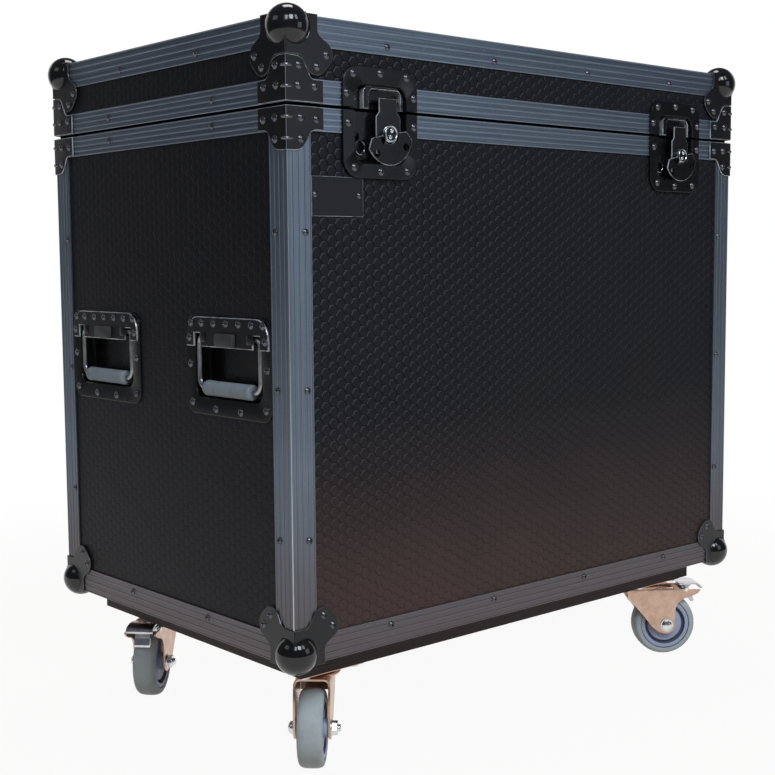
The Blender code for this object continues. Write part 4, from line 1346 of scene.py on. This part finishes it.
lidDish = carved(latchDish(), brick((-0.1, -0.05, -0.2), (0.1, 0.05, halfGap)))
bodyDish = carved(latchDish(), brick((-0.1, -0.05, -halfGap), (0.1, 0.05, 0.2)))
lidDishMesh = merged(painted(lidDish, 0), keeper())
bodyDishMesh = merged(painted(bodyDish, 0), *padlockRing())
hookMesh, spindleMesh, wingMesh = hookPlate(), spindleWorks(), wingPlate()
for side, x in (("left", -latch["x"]), ("right", latch["x"])):
    seat = move(x, -halfDepth, seam)
    works = seat @ move(latch["works"], 0, -spindle["drop"])
    twisted = works @ turn(-wingAngle["twist"], "Y")
    made = [
        ("lidDish", lidDishMesh, seat, [panShadeEnamel, cutEdge], "lid", "lid_dish"),
        ("bodyDish", bodyDishMesh, seat, [panShadeEnamel, ringSteel], "body", "body_dish"),
        ("hookPlate", hookMesh, works, [blackEnamel, cutEdge], f"latch_{side}_hook", "hook"),
        ("twistBoss", spindleMesh, works, [bossSteel, boltSteel, panShadeEnamel], f"latch_{side}_spindle",
         "spindle"),
        ("thumbWing", wingMesh, twisted, [panShadeEnamel, cutEdge], f"latch_{side}_wing", "wing"),
    ]
    for name, mesh, spot, materials, body, node in made:
        piece(f"{name}_{side}", placed(mesh, spot), materials, body, f"latch_{side}_{node}")
    for body in ("lid", "body"):
        for dx, z in latchRivets[body]:
            frontRivet(body, -1, x + dx, seam + z, proud=-latchFace)
        for dx, z in floorRivets[body]:
            frontRivet(body, -1, x + dx, seam + z, "small", -panFloor)
print("latches made")


# hinges on the back, drawn with the origin on the pin

hinge = mm({"x": 260, "width": 64, "sheet": 2, "leaf": 26, "round": 4, "knuckle": 3.6, "clear": 4.2,
            "length": 24, "between": 0.6, "proud": 4.3, "rivets": (-22, 0, 22), "rivetRise": 19})


def hingeLeaf(up):
    k = hinge
    face = gap - k["proud"]
    low, high = sorted((up * k["clear"], up * (k["clear"] + k["leaf"])))
    outline = roundedBox(k["width"], high - low, k["round"], 0.0, (low + high) / 2, 4)
    made = [placed(slab([(-x, z) for x, z in reversed(outline)], face, face + k["sheet"], 0.0005), toBack)]
    half, inner = k["length"] / 2, k["length"] / 2 + k["between"]
    outer = k["width"] / 2
    for a, b in [(-half, half)] if up > 0 else [(-outer, -inner), (inner, outer)]:
        low, high = sorted((0.0, up * (k["clear"] + 0.004)))
        made.append(brick((a, face, low), (b, face + k["sheet"], high), 0.0004, 1))
        made.append(placed(rod(k["knuckle"], a, b, ease=0.0005), turn(90, "Y")))
    return merged(*made)


lidLeaf, bodyLeaf = hingeLeaf(1), hingeLeaf(-1)
for side, x in (("left", -hinge["x"]), ("right", hinge["x"])):
    seat = move(x, halfDepth + hinge["proud"], seam)
    piece(f"lidLeaf_{side}", placed(lidLeaf, seat), blackEnamel, "lid", f"hinge_{side}_lid_leaf")
    piece(f"bodyLeaf_{side}", placed(bodyLeaf, seat), blackEnamel, "body", f"hinge_{side}_body_leaf")
    for dx in hinge["rivets"]:
        for body, up in (("lid", 1), ("body", -1)):
            frontRivet(body, 1, x + dx, seam + up * hinge["rivetRise"], "middle", gap + hinge["sheet"])
print("hinges made")


# castors, drawn trailing along +X with the origin on the floor under the swivel

castor = mm({
    "fromEnd": 100,
    "fromFront": 88,
    "height": 125,
    "plate": (105, 85, 3),
    "race": 30,
    "bolts": (40, 30),
    "crown": 33,
    "crownTop": 115.7,
    "crownLow": 111.7,
    "wheel": 50,
    "trail": 38,
    "hub": 20.5,          # half width over the hub
    "tyre": 16,
    "axle": 4.9,
    "foot": 14.3,         # round end of each leg
    "legOut": 23.8,
    "sheet": 3,
    "bend": 8.5,
    "brakeX": 70,
    "brakeZ": 107.7,
    "pedal": 20,          # half width
    "pedalSheet": 2.2,
})
# which way each castor trails, and whether it has a brake
castorWays = {"front_left": (-134, False), "front_right": (-36, True),
              "back_left": (-138, True), "back_right": (-60, False)}


def castorPlate():
    k = castor
    length, width, sheet = k["plate"]
    under = k["height"] - sheet
    low = under - 0.006
    base = slab(roundedBox(length, width, 0.009), under, k["height"], 0.0005, under=True)
    race = lathe(near(0, low, (0, 0.4), (20, 0.4), (24, 0), (27.5, 0.3)) + near(k["race"], low, (0, 2.6))
                 + near(k["race"], under, (0, 0.5)) + near(0, under, (0, 0.5)), 48)
    bolts = []
    for sx in (-1, 1):
        for sy in (-1, 1):
            x, y = sx * k["bolts"][0], sy * k["bolts"][1]
            bolts += [slab(circle(0.0062, 6, x, y, 10), under - 0.0045, under + 0.0005, 0.0006, under=True),
                      placed(rod(0.0085, 0, 0.0012), move(x, y, under - 0.0011))]
    return merged(painted(merged(base, race), 0), painted(merged(*bolts), 1))


def forkOutline(braked):
    # half of the flat blank: along the sheet from the middle of the web, and x
    k = castor
    web, curve = k["legOut"] - k["bend"], math.pi / 2 * k["bend"]
    legTop = web + curve + k["crownTop"] - gap - k["bend"]

    def down(*spots):
        # heights and x on the leg, in millimetres
        return [(legTop - mm(z), mm(x)) for z, x in spots]

    def over(share, x):
        # on the bend, or a little into the web
        return web + curve * share, mm(x)

    middle = [(web * 0.8, mm(44.4)), (0.0, mm(44.4))]
    foot = arc(k["trail"], k["wheel"], k["foot"], -118, 0, 10)
    end = (k["trail"] + k["foot"]) * 1000
    half = [(0.0, mm(-13.7)), (web * 0.8, mm(-14)), over(0.55, -21.5)]
    half += down((106, -26.5), (99, -24.5), (85, -15), (64, 2), (48, 14), (40, 24))
    half += [(legTop - z, x) for x, z in foot] + down((70, end))
    if braked:
        half += down((79, end + 1.2), (87, end + 6), (93, end + 15), (96, end + 26), (101, end + 37),
                     (106, end + 41.5)) + [over(0.95, 93), over(0.9, 52), over(0.6, 47.5)] + middle
    else:
        half += down((86, end - 1), (96, end - 3), (105, end - 6)) + [over(0.4, 45)] + middle
    return half + [(-s, x) for s, x in reversed(half[1:-1])]


def castorFork(braked):
    k = castor
    top, low, out = k["crownTop"], k["crownLow"], k["legOut"]
    roof, foot = top - gap, k["wheel"] - 0.0200
    left = [(-out, foot)] + arc(k["bend"] - out, roof - k["bend"], k["bend"], 180, 90, 7)
    spine = left + [(-y, z) for y, z in reversed(left)]
    shell = placed(folded(forkOutline(braked), k["sheet"], spine, 0.0006, inward=-1), toEnd)
    crown = lathe(near(0, top, (0, 0), (18, 0), (22, -0.6), (27, -0.2))
                  + near(k["crown"], top, (-1.2, -0.3), (0, -1.6))
                  + near(k["crown"], low, (0, 1.4), (-1.2, 0)) + [(0, low)], 48)
    # skirt folded down between the legs on the leading side
    skirt = slab(mm([(-20.5, 83), (20.5, 83), (20.5, 104.5), (15, 112.5), (-15, 112.5), (-20.5, 104.5)]),
                 -0.0150, -0.0125, 0.0006, under=True)
    nut = lathe(near(0, low, (0, -3.5), (6, -3.5), (8, -1.5), (8, 1), (0, 1)))
    # the axle bolt with its head on one side, and a washer and nut on the other
    head = lathe(near(0, out, (0, 8), (3, 7.8), (5.8, 6.8), (7.8, 4.8), (8.4, 2.4), (8.6, 1.6), (10.4, 1.4),
                      (10.5, 0.2), (10.5, -1), (0, -1)), 32)
    washer = lathe(near(0, out, (0, 1.4), (9.8, 1.4), (10.4, 0.9), (10.4, -1), (0, -1)), 32)
    hexagon = slab(circle(0.0094, 6), out + 0.0012, out + 0.0082, 0.0009)
    tip = lathe(near(0, out, (0, 12), (4, 12), (4.8, 11.2), (4.8, 7), (0, 7)))
    axle = move(k["trail"], 0, k["wheel"])
    bright = [placed(merged(head, rod(k["axle"], -out, out)), axle @ turn(90, "X")),
              placed(merged(washer, hexagon, tip), axle @ turn(-90, "X"))]
    if braked:
        half = near(0, out, (0, 1), (3, 0.9), (3.4, 0.2), (3.4, -0.4), (2, -0.6))
        pin = lathe(half + [(r, -h) for r, h in reversed(half)], 20)
        bright.append(placed(pin, move(k["brakeX"], 0, k["brakeZ"]) @ turn(90, "X")))
    return merged(painted(merged(shell, crown, nut, placed(skirt, toEnd)), 0), painted(merged(*bright), 1))


def castorWheel():
    k = castor
    hub, tyre = k["hub"], k["tyre"]
    side = near(0, hub, (5.3, 0), (10.8, 0), (12, -1))
    side += near(0, tyre, (12.4, -2.6), (14, -3.4), (26.2, -3), (27.6, -3.6), (28.4, -8.8), (32.2, -8.8),
                 (33, -0.8), (34.2, -0.2), (37.4, -0.2), (38.6, -1.2), (39.4, -1.2), (40, -0.2), (44, 0),
                 (46.6, -1), (48.4, -3.2), (49.4, -6.2), (49.9, -10))
    profile = side + [(k["wheel"], 0.0)] + [(r, -h) for r, h in reversed(side)]
    mesh = lathe(profile + profile[:1], 72)
    for face in mesh.polygons:
        radius = math.hypot(face.center.x, face.center.y)
        if radius > 0.0397:                                                  # tyre
            face.material_index = 0
        # painted shade in the grooves
        elif 0.0280 < radius < 0.0328 or 0.0382 < radius:                    # grooves
            face.material_index = 2
        else:
            face.material_index = 1
    return placed(mesh, turn(90, "X"))


def castorBrake():
    k = castor
    half, top, x, z = k["pedal"], k["crownTop"] + 0.0019, k["brakeX"], k["brakeZ"]
    line = eased(near(0, top, (60, -1.2), (69, -0.4), (78, 0), (88, -1), (94, -2.8), (97.5, -5.8),
                      (97.5, -9.8)))
    back = []
    for i, point in enumerate(line):
        along = (Vector(line[min(i + 1, len(line) - 1)]) - Vector(line[max(i - 1, 0)])).normalized()
        back.append((point[0] + along.y * k["pedalSheet"], point[1] - along.x * k["pedalSheet"]))
    pedal = slab(line + back[::-1], -half, half, 0.0005, under=True)
    tab = near(x, top, (-4.2, -2), (4.2, -2.5), (10, -16), (16.8, -30), (15, -33.5), (11.5, -32.5),
               (5, -21))
    rocker = slab(tab + near(x, z, (-4.2, -3)), -0.0118, 0.0118, 0.0008, under=True)
    ring = near(0, -half, (2.3, 0), (4.4, 0)) + near(0, half, (4.4, 0), (2.3, 0))
    return placed(merged(pedal, rocker, placed(lathe(ring + ring[:1]), move(x, z, 0))), toFront)


plateMesh, wheelMesh, brakeMesh = castorPlate(), castorWheel(), castorBrake()
forkMesh = {braked: castorFork(braked) for braked in (False, True)}
for spot, sx, sy in fourCorners:
    way, braked = castorWays[spot]
    name = f"castor_{spot}"
    seat = move(sx * (halfWidth - castor["fromEnd"]), sy * (halfDepth - castor["fromFront"]), 0)
    swivel = seat @ turn(way, "Z")
    axle = swivel @ move(castor["trail"], 0, castor["wheel"])
    piece(f"topPlate_{spot}", placed(plateMesh, seat), [zincSteel, boltSteel], "body", f"{name}_plate",
          slot="zinc_steel")
    piece(f"fork_{spot}", placed(forkMesh[braked], swivel), [zincSteel, boltSteel], f"{name}_fork",
          f"{name}_fork", slot="zinc_steel")
    piece(f"wheel_{spot}", placed(wheelMesh, axle), [tyreRubber, hubNylon, grooveShadeNylon], f"{name}_wheel",
          f"{name}_wheel", slot="wheel_rubber", sharp=40)
    if braked:
        piece(f"pedal_{spot}", placed(brakeMesh, swivel), pedalSteel, f"{name}_brake", f"{name}_brake",
              slot="zinc_steel")
print("castors made")


# bare nameplate

label = mm({"x": -359.5, "z": 717, "width": 79, "height": 47, "round": 1.2, "sheet": 1.2, "seat": 2,
            "rivets": (-34, 33.5), "rivetRise": 2, "rivetSeat": 0.8})
outline = roundedBox(label["width"], label["height"], label["round"], label["x"], label["z"], 3)
mesh = placed(slab(outline, 0, label["sheet"], 0.0004, rim=1), move(y=label["seat"] - halfDepth) @ toFront)
piece("namePlate", mesh, [bareBlack, cutEdge], "body", "nameplate")
for dx in label["rivets"]:
    frontRivet("body", -1, label["x"] + dx, label["z"] + label["rivetRise"], "small", -label["rivetSeat"])


# rivets, set on their spots by a node tree

g, start = geometryTree("rivets", Flange="Float", Height="Float", Sides="Int", Metal="Material")
bead = g.node("GeometryNodeMeshUVSphere", sockets={
    "Segments": start.other("Sides"), "Rings": 12, "Radius": 1.0})
x, y, z = g.split(g.node("GeometryNodeInputPosition"))
away = (x * x + y * y).maths("SQRT")
bead = g.node("GeometryNodeDeleteGeometry", sockets={"Geometry": bead, "Selection": z < -0.05})
# flange outside 0.85 of the radius, dome inside it, and a pit in the middle
dome = z.atLeast(0.0) * start.other("Height")
flange = away > 0.85
lifted = dome * (1 - flange) + flange * dome * 0.55 - (away < 0.4) * start.other("Height") * 0.85
spread = 1 + (away > 0.90) * (start.other("Flange") - 1)
bead = g.node("GeometryNodeSetPosition", sockets={
    "Geometry": bead, "Position": g.joined(x * spread, y * spread, lifted)})
bead = g.node("GeometryNodeSetShadeSmooth", sockets={"Geometry": bead, "Shade Smooth": True})
outward = g.node("GeometryNodeInputNamedAttribute", {"data_type": "FLOAT_VECTOR"}, {"Name": "outward"})
size = g.node("GeometryNodeInputNamedAttribute", {"data_type": "FLOAT"}, {"Name": "size"})
heading = g.node("FunctionNodeAlignRotationToVector", {"axis": "Z"}, {"Vector": outward})
rivets = g.node("GeometryNodeInstanceOnPoints", sockets={
    "Points": start.other("Geometry"), "Instance": bead, "Rotation": heading, "Scale": size})
closeTree(g, rivets, start.other("Metal"))
rivetGraph = g


def rivetPoints(spots):
    mesh = bpy.data.meshes.new("rivetPoints")
    mesh.from_pydata([spot for spot, _, _ in spots], [], [])
    mesh.attributes.new("outward", "FLOAT_VECTOR", "POINT")
    mesh.attributes.new("size", "FLOAT", "POINT")
    for i, (_, way, radius) in enumerate(spots):
        mesh.attributes["outward"].data[i].vector = way
        mesh.attributes["size"].data[i].value = radius
    return mesh


for body, spots in rivetSpots.items():
    mesh = runTree(rivetGraph, rivetPoints(spots), {
        "Flange": rivetShape["flange"], "Height": rivetShape["dome"], "Sides": rivetShape["sides"],
        "Metal": rivetSteel})
    piece(f"rivets_{body}", mesh, rivetSteel, body, sharp=60)
print("rivets set:", {body: len(spots) for body, spots in rivetSpots.items()})


# floor, light and camera

studio = {
    "floor": (0.62, 0.54, 0.48),
    "near": 0.94,         # share of white in the floor by the castors
    "nearReach": 0.7,
    "far": 2.0,
    "world": (0.10, 0.105, 0.118),
    "reach": 3.2,
    "backdropHeight": 2.6,
    "backdropSpan": (-15, 115),
}
cool = (0.84, 0.92, 1.0)
# place, width, height, power, colour and what it points at
lamps = {
    "paneLeft": ((-2.1, -2.2, 2.7), 0.7, 1.2, 20, cool, (0, 0, 0.5)),
    "paneMiddle": ((-1.0, -2.8, 2.9), 1.0, 1.2, 50, cool, (0, 0, 0.5)),
    "paneRight": ((0.4, -3.0, 2.9), 0.7, 1.2, 14, cool, (0, 0, 0.5)),
    "left": ((-3.2, 0.6, 2.6), 1.6, 1.0, 6, (0.90, 0.95, 1.0), (0, 0, 0.5)),
    "sheet": ((0.75, -2.3, 0.95), 0.9, 0.9, 4.5, (0.80, 0.90, 1.0), (-0.3, -0.28, 0.6)),
    "top": ((0.2, 0.4, 3.6), 1.2, 1.0, 30, (1.0, 0.98, 0.95), (0, 0, 0.5)),
}
view = {"spot": (-1.3646, -1.5161, 0.643), "yaw": 41.16, "pitch": -5.55, "roll": -0.0076, "lens": 61.57}


def paleNodes(nearWhite, clearBehind):
    # pale surface that keeps the object's shadow and runs to white away from it
    def build(g):
        x, y, z = g.split(g.objectPlace())
        away = (x * x + y * y).maths("SQRT")
        white = g.smooth(away, studio["nearReach"], studio["far"], nearWhite, 1.0)
        path = g.node("ShaderNodeLightPath", take="Is Camera Ray")
        seen = path.atLeast(path.other("Is Glossy Ray")).atLeast(path.other("Is Transmission Ray"))
        dull = g.node("ShaderNodeBsdfDiffuse", sockets={"Color": (*studio["floor"], 1)})
        glow = g.node("ShaderNodeEmission", sockets={"Color": (1, 1, 1, 1), "Strength": 1.0})
        blended = g.node("ShaderNodeMixShader", sockets={0: seen * white, 1: dull, 2: glow})
        if clearBehind:
            behind = g.node("ShaderNodeNewGeometry", take="Backfacing")
            clear = g.node("ShaderNodeBsdfTransparent")
            blended = g.node("ShaderNodeMixShader", sockets={0: behind, 1: blended, 2: clear})
        return blended
    return build


def standing(name, mesh, material):
    thing = scratch(mesh)
    thing.name = name
    mesh.materials.append(material)


# the floor is a disc, and the backdrop stands only behind the object
reach = studio["reach"]
standing("studioFloor", slab(circle(reach, 36), -0.02, 0.0),
         newMaterial("paleFloor", paleNodes(studio["near"], False)))
shape = bmesh.new()
rows = [[shape.verts.new((x, y, z)) for x, y in arc(0, 0, reach - 0.02, *studio["backdropSpan"], 26)]
        for z in (-0.01, studio["backdropHeight"])]
for i in range(26):
    shape.faces.new((rows[0][i], rows[0][i + 1], rows[1][i + 1], rows[1][i]))
backdrop = toMesh(shape)
if backdrop.polygons[0].normal.dot(backdrop.polygons[0].center) > 0:
    backdrop.flip_normals()
standing("studioBackdrop", backdrop, newMaterial("paleBackdrop", paleNodes(1.0, True)))

world = bpy.data.worlds.new("studio")
bpy.context.scene.world = world
world.use_nodes = True
world.node_tree.nodes.clear()
g = Graph(world.node_tree)
air = g.node("ShaderNodeBackground", sockets={"Color": (*studio["world"], 1), "Strength": 1.0})
g.node("ShaderNodeOutputWorld", sockets={"Surface": air})


def aimed(name, data, spot, way):
    thing = bpy.data.objects.new(name, data)
    bpy.context.scene.collection.objects.link(thing)
    thing.location = spot
    thing.rotation_mode = "QUATERNION"
    thing.rotation_quaternion = Vector(way).to_track_quat("-Z", "Y")
    return thing


for name, (spot, wide, tall, power, colour, aim) in lamps.items():
    data = bpy.data.lights.new(f"{name}Lamp", "AREA")
    data.shape = "RECTANGLE"
    data.size, data.size_y = wide, tall
    data.energy = power
    data.color = colour
    aimed(f"{name}Lamp", data, spot, Vector(aim) - Vector(spot))

data = bpy.data.cameras.new("camera")
data.sensor_width = 36
data.lens = view["lens"]
data.clip_start, data.clip_end = 0.05, 60
yaw, pitch = math.radians(view["yaw"]), math.radians(view["pitch"])
ahead = (math.sin(yaw) * math.cos(pitch), math.cos(yaw) * math.cos(pitch), math.sin(pitch))
camera = aimed("camera", data, view["spot"], ahead)
roll = Matrix.Rotation(view["roll"], 3, "Z").to_quaternion()
camera.rotation_quaternion = camera.rotation_quaternion @ roll
bpy.context.scene.camera = camera
bpy.context.scene.view_settings.view_transform = "Standard"
print("studio set")
